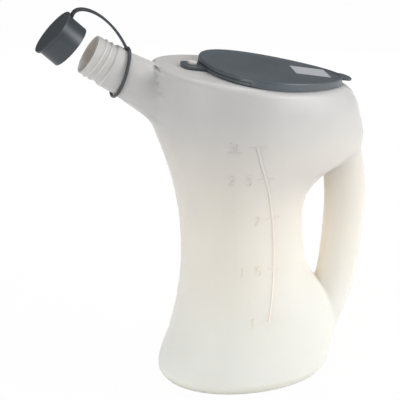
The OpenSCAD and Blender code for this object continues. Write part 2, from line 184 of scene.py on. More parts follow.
@dataclass(frozen=True)
class MilkyPolyethylene(Finish):
    """Natural high density polyethylene, blow moulded.

    The unpigmented wall scatters light inside itself, so edges glow and the hollow shows as a soft
    shade. Its base colour holds painted shade and painted light by height: painted shade makes it grey
    towards the top under the lid, and painted light makes it bright cream near the base.
    """

    # Painted shade and light by height: the grey top is painted shade, the bright cream foot is painted light.
    top: str = "#bfbebd"
    waist: str = "#ece2d4"
    foot: str = "#fff5e6"
    scatter: float = 1.0
    roughness: float = 0.42
    ior: float = 1.54
    scatter_mm: float = 5.0
    low_z_mm: float = 20.0
    high_z_mm: float = 300.0
    cloud_mm: float = 60.0
    cloud_share: float = 0.12
    orange_peel_mm: float = 2.2
    orange_peel_depth_mm: float = 0.2

    def shader(self, tree: bpy.types.NodeTree) -> Any:
        """Give the milky shader, with painted shade at the top and painted light at the foot drifting up the
        body.

        Args:
            tree: the node tree that it goes into.

        Returns:
            The shader output to link to the material.
        """
        place = self.object_place(tree)
        split = add_node(tree, "ShaderNodeSeparateXYZ", {"Vector": place})
        height = add_node(
            tree,
            "ShaderNodeMapRange",
            {
                "Value": split.outputs["Z"],
                "From Min": self.low_z_mm * MM,
                "From Max": self.high_z_mm * MM,
            },
        )
        clouds = add_node(
            tree, "ShaderNodeTexNoise", {"Vector": place, "Scale": 1 / (self.cloud_mm * MM), "Detail": 2.0}
        )
        drift = add_node(
            tree,
            "ShaderNodeMath",
            {0: clouds.outputs["Fac"], 1: self.cloud_share, 2: height.outputs["Result"]},
            operation="MULTIPLY_ADD",
        )
        # The ramp paints shade towards the top and light towards the foot, stirred by random clouds.
        tone = ramp(
            tree,
            drift.outputs["Value"],
            [(0.05, linear(self.foot)), (0.5, linear(self.waist)), (0.95, linear(self.top))],
        )
        peel = add_node(
            tree, "ShaderNodeTexNoise", {"Vector": place, "Scale": 1 / (self.orange_peel_mm * MM), "Detail": 3.0}
        )
        bump = add_node(
            tree,
            "ShaderNodeBump",
            {
                "Strength": 0.12,
                "Distance": self.orange_peel_depth_mm * MM,
                "Height": peel.outputs["Fac"],
            },
        )
        gloss = add_node(
            tree,
            "ShaderNodeMapRange",
            {
                "Value": clouds.outputs["Fac"],
                "To Min": self.roughness - 0.05,
                "To Max": self.roughness + 0.06,
            },
        )
        shader = add_node(
            tree,
            "ShaderNodeBsdfPrincipled",
            {
                "Base Color": tone,
                "Roughness": gloss.outputs["Result"],
                "IOR": self.ior,
                "Subsurface Weight": self.scatter,
                "Subsurface Radius": (1.0, 0.92, 0.82),
                "Subsurface Scale": self.scatter_mm * MM,
                "Normal": bump.outputs["Normal"],
            },
        )
        return shader.outputs["BSDF"]


@dataclass(frozen=True)
class MouldedPlastic(Finish):
    """Pigmented polyethylene, injection moulded against a finely eroded tool."""

    colour: str = "#4a5157"
    roughness: float = 0.4
    grain_mm: float = 0.9
    grain_depth_mm: float = 0.1
    flow_mm: float = 45.5
    ior: float = 1.5
    drift: float = 0.12

    def shader(self, tree: bpy.types.NodeTree) -> Any:
        """Give the satin shader with flow marks and a fine moulded grain.

        Args:
            tree: the node tree that it goes into.

        Returns:
            The shader output to link to the material.
        """
        place = self.object_place(tree)
        flow = add_node(
            tree, "ShaderNodeTexNoise", {"Vector": place, "Scale": 1 / (self.flow_mm * MM), "Detail": 3.0}
        )
        base = linear(self.colour)
        low = tuple(c * (1 - self.drift) for c in base[:3]) + (1.0,)
        high = tuple(c * (1 + self.drift) for c in base[:3]) + (1.0,)
        tone = ramp(tree, flow.outputs["Fac"], [(0.3, low), (0.7, high)])
        grain = add_node(
            tree, "ShaderNodeTexNoise", {"Vector": place, "Scale": 1 / (self.grain_mm * MM), "Detail": 2.0}
        )
        bump = add_node(
            tree,
            "ShaderNodeBump",
            {"Strength": 0.2, "Distance": self.grain_depth_mm * MM, "Height": grain.outputs["Fac"]},
        )
        gloss = add_node(
            tree,
            "ShaderNodeMapRange",
            {
                "Value": grain.outputs["Fac"],
                "To Min": self.roughness - 0.06,
                "To Max": self.roughness + 0.08,
            },
        )
        shader = add_node(
            tree,
            "ShaderNodeBsdfPrincipled",
            {
                "Base Color": tone,
                "Roughness": gloss.outputs["Result"],
                "IOR": self.ior,
                "Normal": bump.outputs["Normal"],
            },
        )
        return shader.outputs["BSDF"]


@dataclass(frozen=True)
class CoatedPaper(Finish):
    """Semi-gloss label paper, left blank, with the faint tooth of its fibres."""

    colour: str = "#a4a7ad"
    roughness: float = 0.55
    fibre_mm: float = 0.8
    fibre_depth_mm: float = 0.1
    fibre_dark: float = 0.94

    def shader(self, tree: bpy.types.NodeTree) -> Any:
        """Give the paper's shader.

        Args:
            tree: the node tree that it goes into.

        Returns:
            The shader output to link to the material.
        """
        place = self.object_place(tree)
        fibre = add_node(
            tree, "ShaderNodeTexNoise", {"Vector": place, "Scale": 1 / (self.fibre_mm * MM), "Detail": 4.0}
        )
        base = linear(self.colour)
        low = tuple(c * self.fibre_dark for c in base[:3]) + (1.0,)
        tone = ramp(tree, fibre.outputs["Fac"], [(0.3, low), (0.7, base)])
        bump = add_node(
            tree,
            "ShaderNodeBump",
            {"Strength": 0.15, "Distance": self.fibre_depth_mm * MM, "Height": fibre.outputs["Fac"]},
        )
        shader = add_node(
            tree,
            "ShaderNodeBsdfPrincipled",
            {"Base Color": tone, "Roughness": self.roughness, "Normal": bump.outputs["Normal"]},
        )
        return shader.outputs["BSDF"]


@dataclass(frozen=True)
class StudioPaper(Finish):
    """White background paper that the camera sees as plain white under a soft shadow."""

    colour: str = "#e9e9e9"
    lift: float = 0.97

    def shader(self, tree: bpy.types.NodeTree) -> Any:
        """Give the paper's shader, lifted towards white for the camera only.

        Args:
            tree: the node tree that it goes into.

        Returns:
            The shader output to link to the material.
        """
        paper = add_node(tree, "ShaderNodeBsdfDiffuse", {"Color": linear(self.colour), "Roughness": 1.0})
        glow = add_node(tree, "ShaderNodeEmission", {"Color": grey(1.0), "Strength": 1.0})
        seen = add_node(tree, "ShaderNodeLightPath")
        share = add_node(
            tree,
            "ShaderNodeMath",
            {0: seen.outputs["Is Camera Ray"], 1: self.lift},
            operation="MULTIPLY",
        )
        mix = add_node(
            tree,
            "ShaderNodeMixShader",
            {0: share.outputs["Value"], 1: paper.outputs["BSDF"], 2: glow.outputs["Emission"]},
        )
        return mix.outputs["Shader"]


MILK = MilkyPolyethylene("natural_polyethylene", Slot.NATURAL)
# The raised scale is too thin to scatter light on its own, so its finish keeps the tone only.
MILK_RELIEF = MilkyPolyethylene("natural_polyethylene_relief", Slot.NATURAL, scatter=0.0)
LID_GREY = MouldedPlastic("lid_polyethylene", Slot.LID, colour="#4d555b", roughness=0.38)
CAP_GREY = MouldedPlastic("cap_polyethylene", Slot.CAP, colour="#3a4045", roughness=0.36)
LABEL_WHITE = CoatedPaper("label_paper", Slot.LABEL)
STUDIO_WHITE = StudioPaper("studio_paper", None)


# Mesh work


def only(obj: bpy.types.Object) -> None:
    """Make an object the only selected one, and the active one."""
    bpy.ops.object.select_all(action="DESELECT")
    obj.select_set(True)
    bpy.context.view_layer.objects.active = obj


def new_object(name: str, verts: Any, faces: Any, edges: Any = ()) -> bpy.types.Object:
    """Make an object at the origin from points in millimetres.

    Args:
        name: the piece's name.
        verts: its points, in millimetres.
        faces: its faces, as lists of point numbers.
        edges: loose edges, for a profile.

    Returns:
        The new object, linked to the scene.
    """
    mesh = bpy.data.meshes.new(name)
    mesh.from_pydata([tuple(float(c) * MM for c in v) for v in verts], [tuple(e) for e in edges], faces)
    obj = bpy.data.objects.new(name, mesh)
    bpy.context.scene.collection.objects.link(obj)
    return obj


def apply_place(obj: bpy.types.Object) -> None:
    """Put an object's place into its mesh, so that the object sits at the origin."""
    obj.data.transform(obj.matrix_world)
    obj.matrix_world = Matrix.Identity(4)


def tidy(obj: bpy.types.Object, merge_mm: float = 0.01, flip: bool = True) -> None:
    """Merge doubles and turn all faces outwards.

    Args:
        obj: the piece.
        merge_mm: points nearer than this become one.
        flip: whether the faces are turned.
    """
    only(obj)
    bpy.ops.object.mode_set(mode="EDIT")
    bpy.ops.mesh.select_all(action="SELECT")
    bpy.ops.mesh.remove_doubles(threshold=merge_mm * MM)
    if flip:
        bpy.ops.mesh.normals_make_consistent(inside=False)
    bpy.ops.object.mode_set(mode="OBJECT")


def smooth(obj: bpy.types.Object, degrees: float = 35.0) -> None:
    """Shade a piece smooth up to an angle."""
    only(obj)
    bpy.ops.object.shade_smooth_by_angle(angle=math.radians(degrees))


def apply_modifier(obj: bpy.types.Object, kind: str, **settings: Any) -> None:
    """Add a modifier, set it and apply it.

    Args:
        obj: the piece.
        kind: Blender's name of the modifier type.
        **settings: properties of the modifier.
    """
    only(obj)
    made = obj.modifiers.new(kind.lower(), kind)
    for key, value in settings.items():
        setattr(made, key, value)
    bpy.ops.object.modifier_apply(modifier=made.name)


def lathe(name: str, profile: Sequence[Point], steps: int = 96) -> bpy.types.Object:
    """Spin a profile about Z into a closed solid of revolution.

    Args:
        name: the piece's name.
        profile: points of radius and height in millimetres, round the section.
        steps: number of steps round the axis.

    Returns:
        The lathed piece, with its axis on Z.
    """
    verts = [(r, 0.0, z) for r, z in profile]
    edges = [(i, i + 1) for i in range(len(verts) - 1)]
    obj = new_object(name, verts, [], edges)
    only(obj)
    bpy.ops.object.mode_set(mode="EDIT")
    bpy.ops.mesh.select_all(action="SELECT")
    bpy.ops.mesh.spin(steps=steps, angle=2 * math.pi, center=(0, 0, 0), axis=(0, 0, 1))
    bpy.ops.object.mode_set(mode="OBJECT")
    tidy(obj)
    return obj


def rounded(points: Sequence[Point], radius: float, steps: int = 4) -> list[Point]:
    """Round the inner corners of a line of points with arcs.

    Args:
        points: the line's corners; the first and last stay sharp.
        radius: the corner radius, cut down where a side is short.
        steps: number of steps in each arc.

    Returns:
        The rounded line.
    """
    out = [points[0]]
    for before, at, after in zip(points, points[1:], points[2:]):
        a, p, b = (np.array(q, float) for q in (before, at, after))
        reach = min(radius, 0.45 * np.linalg.norm(a - p), 0.45 * np.linalg.norm(b - p))
        start = p + (a - p) / np.linalg.norm(a - p) * reach
        end = p + (b - p) / np.linalg.norm(b - p) * reach
        for t in np.linspace(0, 1, steps + 1):
            q = (1 - t) ** 2 * start + 2 * t * (1 - t) * p + t * t * end
            out.append((float(q[0]), float(q[1])))
    out.append(points[-1])
    return out


def finish_piece(
    obj: bpy.types.Object,
    look: Finish,
    body: Body,
    materials: dict[str, bpy.types.Material],
    replaces: Iterable[str] = (),
) -> None:
    """Dress a piece and tie it to its body.

    Args:
        obj: the piece, at the origin.
        look: its finish.
        body: the body that it moves with.
        materials: the materials made so far, by name.
        replaces: the CAD nodes that it stands for.
    """
    if look.name not in materials:
        materials[look.name] = look.material()
    obj.data.materials.clear()
    obj.data.materials.append(materials[look.name])
    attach(obj, body.value)
    for node in replaces:
        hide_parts(node)
    log.info("%s: %d faces on %s", obj.name, len(obj.data.polygons), body.value)


# The jug's form


@dataclass(frozen=True)
class Line:
    """A smooth line through control points, with its slope worked out at each of them."""

    points: tuple[Point, ...]

    def __call__(self, asked: np.ndarray) -> np.ndarray:
        """Give the line's values at places along it.

        Args:
            asked: the places.

        Returns:
            The values, one for each place.
        """
        p = np.array(self.points)
        x = np.clip(asked, p[0, 0], p[-1, 0])
        i = np.clip(np.searchsorted(p[:, 0], x, side="right") - 1, 0, len(p) - 2)
        slope = np.gradient(p[:, 1])
        slope[1:-1] = (p[2:, 1] - p[:-2, 1]) / (p[2:, 0] - p[:-2, 0])
        slope[0] = (p[1, 1] - p[0, 1]) / (p[1, 0] - p[0, 0])
        slope[-1] = (p[-1, 1] - p[-2, 1]) / (p[-1, 0] - p[-2, 0])
        h = p[i + 1, 0] - p[i, 0]
        t = (x - p[i, 0]) / h
        rise = (1 + 2 * t) * (1 - t) ** 2 * p[i, 1] + t * t * (3 - 2 * t) * p[i + 1, 1]
        return rise + t * (1 - t) ** 2 * h * slope[i] - t * t * (1 - t) * h * slope[i + 1]


def soft_max(a: np.ndarray, b: np.ndarray, blend: Any) -> np.ndarray:
    """Give the larger of two values with a soft joint between them."""
    return (a + b + np.sqrt((a - b) ** 2 + blend * blend)) / 2


def eased(t: np.ndarray) -> np.ndarray:
    """Ease a share from 0 to 1."""
    c = np.clip(t, 0, 1)
    return c * c * (3 - 2 * c)


@dataclass(frozen=True)
class JugForm:
    """Sizes of the blow moulding and the rule that gives its half width."""

    shoulder_h: float = 292.0
    front_reach: float = 84.0
    back_reach: float = 118.5
    body_w: float = 145.0
    shoulder_tilt: float = 8.7
    wall: float = 1.8
    base_round: float = 17.0
    shoulder_round: float = 6.0
    grip_depth: float = 38.0
    grip_w: float = 31.0
    spout_rise: float = 31.8
    spout_len: float = 58.0
    spout_root_r: float = 21.9
    neck_r: float = 19.4
    mouth_r: float = 17.9
    cone_len: float = 24.0
    thread_h: float = 1.0
    thread_len: float = 19.0
    grip_blend: float = 170.0
    spout_blend: float = 620.0
    root_blend: float = 60.0
    blend_run: float = 34.0
    spout_sink: float = 40.0
    front: Line = Line(
        (
            (0, -0.95), (0.05, -0.945), (0.1, -0.905), (0.16, -0.825), (0.24, -0.75), (0.34, -0.69),
            (0.44, -0.672), (0.55, -0.695), (0.65, -0.76), (0.73, -0.845), (0.8, -0.93), (0.88, -0.985),
            (1, -1),
        )
    )
    back: Line = Line(
        (
            (0, 0.705), (0.06, 0.72), (0.15, 0.76), (0.21, 0.745), (0.27, 0.68), (0.32, 0.6),
            (0.37, 0.525), (0.42, 0.492), (0.54, 0.468), (0.6, 0.485), (0.65, 0.545), (0.7, 0.67),
            (0.745, 0.83), (0.79, 0.93), (0.84, 0.953), (0.89, 0.93), (0.94, 0.9), (0.97, 0.865),
            (1, 0.82),
        )
    )
    width: Line = Line(
        (
            (0, 0.83), (0.08, 0.83), (0.2, 0.77), (0.35, 0.715), (0.48, 0.71), (0.6, 0.77), (0.72, 0.88),
            (0.84, 0.975), (0.93, 1), (1, 0.985),
        )
    )
    blunt: Line = Line(((0, 0.05), (0.2, 0.12), (0.5, 0.1), (0.7, 0.25), (0.85, 0.3), (1, 0.27)))
    front_power: Line = Line(((0, 2), (0.6, 2), (0.8, 1.8), (1, 1.55)))
    grip: Line = Line(
        (
            (0, 0.34), (0.05, 0.46), (0.1, 0.57), (0.17, 0.66), (0.25, 0.74), (0.33, 0.79),
            (0.41, 0.815), (0.5, 0.832), (0.58, 0.838), (0.66, 0.825), (0.73, 0.79), (0.8, 0.72),
            (0.88, 0.6), (1, 0.45),
        )
    )

    @property
    def slope(self) -> float:
        """Fall of the shoulder for each millimetre along +X."""
        return math.tan(math.radians(self.shoulder_tilt))

    def shoulder_z(self, x: Any) -> Any:
        """Height of the shoulder's plane."""
        return self.shoulder_h - x * self.slope

    @property
    def spout_dir(self) -> np.ndarray:
        """Direction of the spout's axis in the middle plane, towards its mouth."""
        a = math.radians(self.spout_rise)
        return np.array([-math.cos(a), math.sin(a)])

    @property
    def spout_up(self) -> np.ndarray:
        """Direction across the spout's axis in the middle plane, upwards."""
        a = math.radians(self.spout_rise)
        return np.array([math.sin(a), math.cos(a)])

    @property
    def crease(self) -> np.ndarray:
        """Front edge of the flat shoulder, where the spout starts."""
        x = -(self.front_reach - self.shoulder_round)
        return np.array([x, self.shoulder_z(x)])

    @property
    def root(self) -> np.ndarray:
        """Root of the spout's axis in the middle plane."""
        return self.crease - self.spout_root_r * self.spout_up

    def spout_r(self, along: Any) -> Any:
        """Radius of the spout's cone at a distance from its root."""
        return self.spout_root_r - (self.spout_root_r - self.neck_r) / self.cone_len * along

    def inset(self, depth: np.ndarray, r: float) -> np.ndarray:
        """How far a rounded edge draws the wall in at a depth under the flat."""
        return np.where(depth >= r, 0.0, r - np.sqrt(np.maximum(r * r - (r - depth) ** 2, 0)))

    def body_square(self, x: np.ndarray, z: np.ndarray, skin: float) -> np.ndarray:
        """Square of the body's half width.

        Args:
            x: places along X.
            z: heights.
            skin: depth under the outer surface.

        Returns:
            The square, below 0 outside the body.
        """
        lean = (z + self.slope * x) / self.shoulder_h
        s = (z + self.slope * x * lean * lean) / self.shoulder_h
        cut = skin + self.inset(self.shoulder_h * (1 - s) - skin, self.shoulder_round)
        cut = cut + self.inset(z - skin, self.base_round)
        front = self.front(s) * self.front_reach + cut
        back = self.back(s) * self.back_reach - cut
        half = self.width(s) * self.body_w / 2 - cut
        u = (x - (front + back) / 2) / ((back - front) / 2)
        power = np.where(u < 0, self.front_power(s), 2.0)
        across = half * (1 - self.blunt(s) * u)
        return across * across * (1 - np.abs(u) ** power)

    def grip_square(self, x: np.ndarray, z: np.ndarray, skin: float) -> np.ndarray:
        """Square of the grip's half width."""
        u = (x - self.grip(z / self.shoulder_h) * self.back_reach) / (self.grip_depth / 2 - skin)
        return (self.grip_w / 2 - skin) ** 2 * (1 - u * u)

    def square(self, x: np.ndarray, z: np.ndarray, skin: float) -> np.ndarray:
        """Square of the half width at points of the middle plane, below 0 outside the jug.

        Args:
            x: places along X.
            z: heights.
            skin: depth under the outer surface, 0 outside and the wall for the hollow.

        Returns:
            The square of the half width, in square millimetres.
        """
        gone = np.stack([x - self.root[0], z - self.root[1]], -1)
        along, off = gone @ self.spout_dir, gone @ self.spout_up
        past = np.maximum(-along - self.spout_sink, 0)
        spout = (self.spout_r(along) - skin) ** 2 - off * off - past * past
        both = soft_max(self.body_square(x, z, skin), self.grip_square(x, z, skin), self.grip_blend)
        return soft_max(both, spout, self.root_blend + self.spout_blend * eased(-along / self.blend_run))

    def wall_point(self, x: float, z: float, out: float = 0.0) -> Vector:
        """Point of the -Y wall at a place of the middle plane, moved outwards.

        Args:
            x: place along X.
            z: height.
            out: distance outwards from the wall.

        Returns:
            The point in millimetres.
        """
        step = 0.5
        xs = np.array([x, x + step, x - step, x, x])
        zs = np.array([z, z, z, z + step, z - step])
        f = self.square(xs, zs, 0.0)
        y = -math.sqrt(max(f[0], 0.0))
        normal = Vector((-(f[1] - f[2]) / (2 * step), 2 * y, -(f[3] - f[4]) / (2 * step))).normalized()
        return Vector((x, y, z)) + normal * out


@dataclass(frozen=True)
class Fan:
    """Lines that fan out from a spine in the hand hole, over which the jug's skin is meshed."""

    form: JugForm
    density: int = 6
    spine_share: float = 0.585
    low_share: float = 0.39
    high_share: float = 0.615
    knuckle: Point = (0.93, 0.89)
    chin_share: float = 0.84
    waist_high: float = 0.75
    waist_low: float = 0.72
    end_along: float = 16.0
    round_steps: int = 72

    @property
    def spine_x(self) -> float:
        """Place of the spine along X."""
        return self.spine_share * self.form.back_reach

    @property
    def spine_low(self) -> float:
        """Height of the spine's lower end."""
        return self.low_share * self.form.shoulder_h

    @property
    def spine_high(self) -> float:
        """Height of the spine's upper end."""
        return self.high_share * self.form.shoulder_h

    def between(self, a: Point, b: Point, n: int) -> list[np.ndarray]:
        """Points from one target to the next, without the last."""
        p, q = np.array(a, float), np.array(b, float)
        return [p + (q - p) * i / n for i in range(n)]

    def corner(self, middle: Point, r: float, start: float) -> list[np.ndarray]:
        """Points round a quarter of a circle.

        Args:
            middle: the circle's middle.
            r: its radius.
            start: the angle of the first point, in degrees.

        Returns:
            The points, without the last.
        """
        n = 3 * self.density
        angles = [math.radians(start + 90 * i / n) for i in range(n)]
        return [np.array(middle) + r * np.array([math.cos(a), math.sin(a)]) for a in angles]

    def lines(self) -> np.ndarray:
        """Give the lines as rows of start height, direction along X and direction along Z."""
        form, d = self.form, self.density
        reach, h = form.back_reach, form.shoulder_h
        back_corner_x = form.back.points[-1][1] * reach - form.shoulder_round
        back_corner = (back_corner_x, form.shoulder_z(back_corner_x))
        end_r = form.spout_r(self.end_along)
        end_middle = form.root + self.end_along * form.spout_dir
        top_end, low_end = end_middle + end_r * form.spout_up, end_middle - end_r * form.spout_up
        spout_low = form.root - form.spout_root_r * form.spout_up
        turn = [math.pi * i / self.round_steps for i in range(self.round_steps)]
        b = form.base_round
        foot_front = (form.front.points[0][1] * form.front_reach + b, b)
        foot_back = (form.back.points[0][1] * reach - b, b)
        knuckle = (self.knuckle[0] * reach, self.knuckle[1] * h)
        chin = (-form.front_reach, self.chin_share * h)
        waist = (-self.waist_high * form.front_reach, self.spine_high)
        high = self.between((reach, self.spine_high), knuckle, 7 * d)
        high += self.between(knuckle, back_corner, 4 * d)
        high += self.between(back_corner, tuple(form.crease), 12 * d)
        high += self.between(tuple(form.crease), tuple(top_end), 2 * d)
        high += [end_middle + end_r * math.cos(a) * form.spout_up for a in turn]
        high += self.between(tuple(low_end), tuple(spout_low), 2 * d)
        high += self.between(tuple(spout_low), chin, 5 * d)
        high += self.between(chin, waist, 6 * d)
        waist = (-self.waist_low * form.front_reach, self.spine_low)
        low = self.between(waist, (foot_front[0] - b, b), 7 * d)
        low += self.corner(foot_front, b, 180)
        low += self.between((foot_front[0], 0), (foot_back[0], 0), 7 * d)
        low += self.corner(foot_back, b, 270)
        low += self.between((foot_back[0] + b, b), (reach, self.spine_low - 1), 7 * d)
        rows = [self.aimed(self.spine_high, p) for p in high]
        rows += [(z, -1.0, 0.0) for z in np.linspace(self.spine_high, self.spine_low, 5 * d, endpoint=False)]
        rows += [self.aimed(self.spine_low, p) for p in low]
        rows += [(z, 1.0, 0.0) for z in np.linspace(self.spine_low, self.spine_high, 5 * d, endpoint=False)]
        return np.array(rows)

    def aimed(self, start: float, target: np.ndarray) -> tuple[float, float, float]:
        """Give the line from a height of the spine towards a target.

        Args:
            start: the height on the spine.
            target: the point in the middle plane that it aims at.

        Returns:
            The start height and the direction along X and Z.
        """
        run = np.array([target[0] - self.spine_x, target[1] - start])
        run = run / np.linalg.norm(run)
        return (start, float(run[0]), float(run[1]))


@dataclass(frozen=True)
class Skin:
    """One skin of the jug as a grid of points, with what each line meets at its end."""

    grid: np.ndarray
    ends: np.ndarray


@dataclass(frozen=True)
class SkinMaker:
    """Walks the fan's lines through the form and lays the points of a skin."""

    form: JugForm
    fan: Fan
    steps: int = 44
    seam: float = 0.35
    halvings: int = 18
    coarse_step: float = 1.5
    fine_step: float = 0.8
    hole_reach: float = 60.0
    jug_reach: float = 400.0
    never: float = 1e4

    def bisect(self, test: Callable[[np.ndarray], np.ndarray], lo: np.ndarray, hi: np.ndarray) -> np.ndarray:
        """Close in on where a test that holds at hi starts to hold.

        Args:
            test: says for each line whether it holds at a distance.
            lo: distances where it does not hold.
            hi: distances where it holds.

        Returns:
            The distances where it starts to hold.
        """
        for _ in range(self.halvings):
            mid = (lo + hi) / 2
            holds = test(mid)
            hi = np.where(holds, mid, hi)
            lo = np.where(holds, lo, mid)
        return hi

    def first(self, test: Callable[[np.ndarray], np.ndarray], start: np.ndarray, step: float, far: float) -> Any:
        """Walk along all lines at once until a test holds, then close in on the place.

        Args:
            test: says for each line whether it holds at a distance.
            start: distances where the walk starts.
            step: length of a step.
            far: distance where the walk ends.

        Returns:
            The distances where the test starts to hold.
        """
        s = start.copy()
        found = test(s)
        while not found.all() and s.min() < far:
            s = np.where(found, s, s + step)
            found = found | test(s) | (s > far)
        return self.bisect(test, np.maximum(s - step, start), s)

    def lay(self, skin: float) -> Skin:
        """Lay the points of a skin.

        Args:
            skin: depth under the outer surface.

        Returns:
            The grid of points on the +Y side and the ends of its lines.
        """
        form = self.form
        rows = self.fan.lines()
        z0, dx, dz = rows[:, 0], rows[:, 1], rows[:, 2]

        def field(s: np.ndarray) -> np.ndarray:
            """Square of the half width at distances along the lines."""
            return form.square(self.fan.spine_x + s * dx, z0 + s * dz, skin)

        def hit(level: float, nx: float, nz: float) -> np.ndarray:
            """Distances at which the lines meet a plane, given by its normal and its level."""
            rate = dx * nx + dz * nz
            start = self.fan.spine_x * nx + z0 * nz
            meets = rate > 0.001
            return np.where(meets, (level - start) / np.where(meets, rate, 1), self.never)

        inner = self.first(lambda s: field(s) > 0, np.zeros(len(rows)), self.fine_step, self.hole_reach)
        shoulder = hit(form.shoulder_h - skin, form.slope, 1.0)
        where = np.stack([self.fan.spine_x + shoulder * dx, z0 + shoulder * dz], -1) - form.root
        shoulder = np.where(where @ form.spout_dir < 0, shoulder, self.never)
        spout_level = float(form.root @ form.spout_dir) + self.fan.end_along
        planes = np.stack([hit(-skin, 0.0, -1.0), shoulder, hit(spout_level, *form.spout_dir)], -1)
        limit = planes.min(-1)

        def leaves(s: np.ndarray) -> np.ndarray:
            """Whether the lines have left the jug or met a plane."""
            return (field(s) < 0) | (s >= limit)

        outer = self.first(leaves, inner + 2 * self.coarse_step, self.coarse_step, self.jug_reach)
        cut = outer >= limit - 1e-6
        ends = np.where(cut, planes.argmin(-1) + 1, Ends.SIDE.value)
        outer = np.minimum(outer, limit)
        share = (1 - np.cos(np.pi * np.arange(self.steps + 1) / self.steps)) / 2
        s = inner[:, None] + (outer - inner)[:, None] * share
        x, z = self.fan.spine_x + s * dx[:, None], z0[:, None] + s * dz[:, None]
        y = np.maximum(np.sqrt(np.maximum(form.square(x, z, skin), 0)), self.seam)
        return Skin(np.stack([x, y, z], -1), ends)


@dataclass(frozen=True)
class LidPlace:
    """The lid's egg shaped outline and its place on the shoulder."""

    form: JugForm
    x: float = 26.0
    length: float = 131.0
    blunt: float = 0.33
    gap: float = 0.3

    def egg(self, points: np.ndarray) -> np.ndarray:
        """Turn points of a round lid into those of the egg shaped one.

        Args:
            points: points round the middle of the lid.

        Returns:
            The moved points.
        """
        out = np.array(points, float)
        r = np.maximum(np.hypot(out[:, 0], out[:, 1]), 1e-9)
        out[:, 1] *= 1 - self.blunt * out[:, 0] / r
        return out

    def edge(self, inset: float, up: float, steps: int = 144) -> np.ndarray:
        """Give the outline drawn in by a distance, in the jug's frame.

        Args:
            inset: distance inwards from the edge.
            up: height over the shoulder.
            steps: number of points.

        Returns:
            The points of the outline.
        """
        t = np.linspace(0, 2 * np.pi, steps, endpoint=False)
        r = self.length / 2 - inset
        return self.place(self.egg(np.stack([r * np.cos(t), r * np.sin(t), np.full(steps, up)], -1)))

    def matrix(self, up: float = 0.0) -> Matrix:
        """Give the place of the shoulder's frame, raised by a height, in metres.

        Args:
            up: height over the shoulder in millimetres.

        Returns:
            The frame's matrix.
        """
        turn = Matrix.Rotation(math.radians(self.form.shoulder_tilt), 4, "Y")
        seat = Vector((self.x, 0, self.form.shoulder_z(self.x))) * MM
        return Matrix.Translation(seat) @ turn @ Matrix.Translation((0, 0, up * MM))

    def place(self, points: np.ndarray) -> np.ndarray:
        """Move points from the shoulder's frame to the jug's."""
        m = np.array(self.matrix())
        return points @ m[:3, :3].T + m[:3, 3] / MM


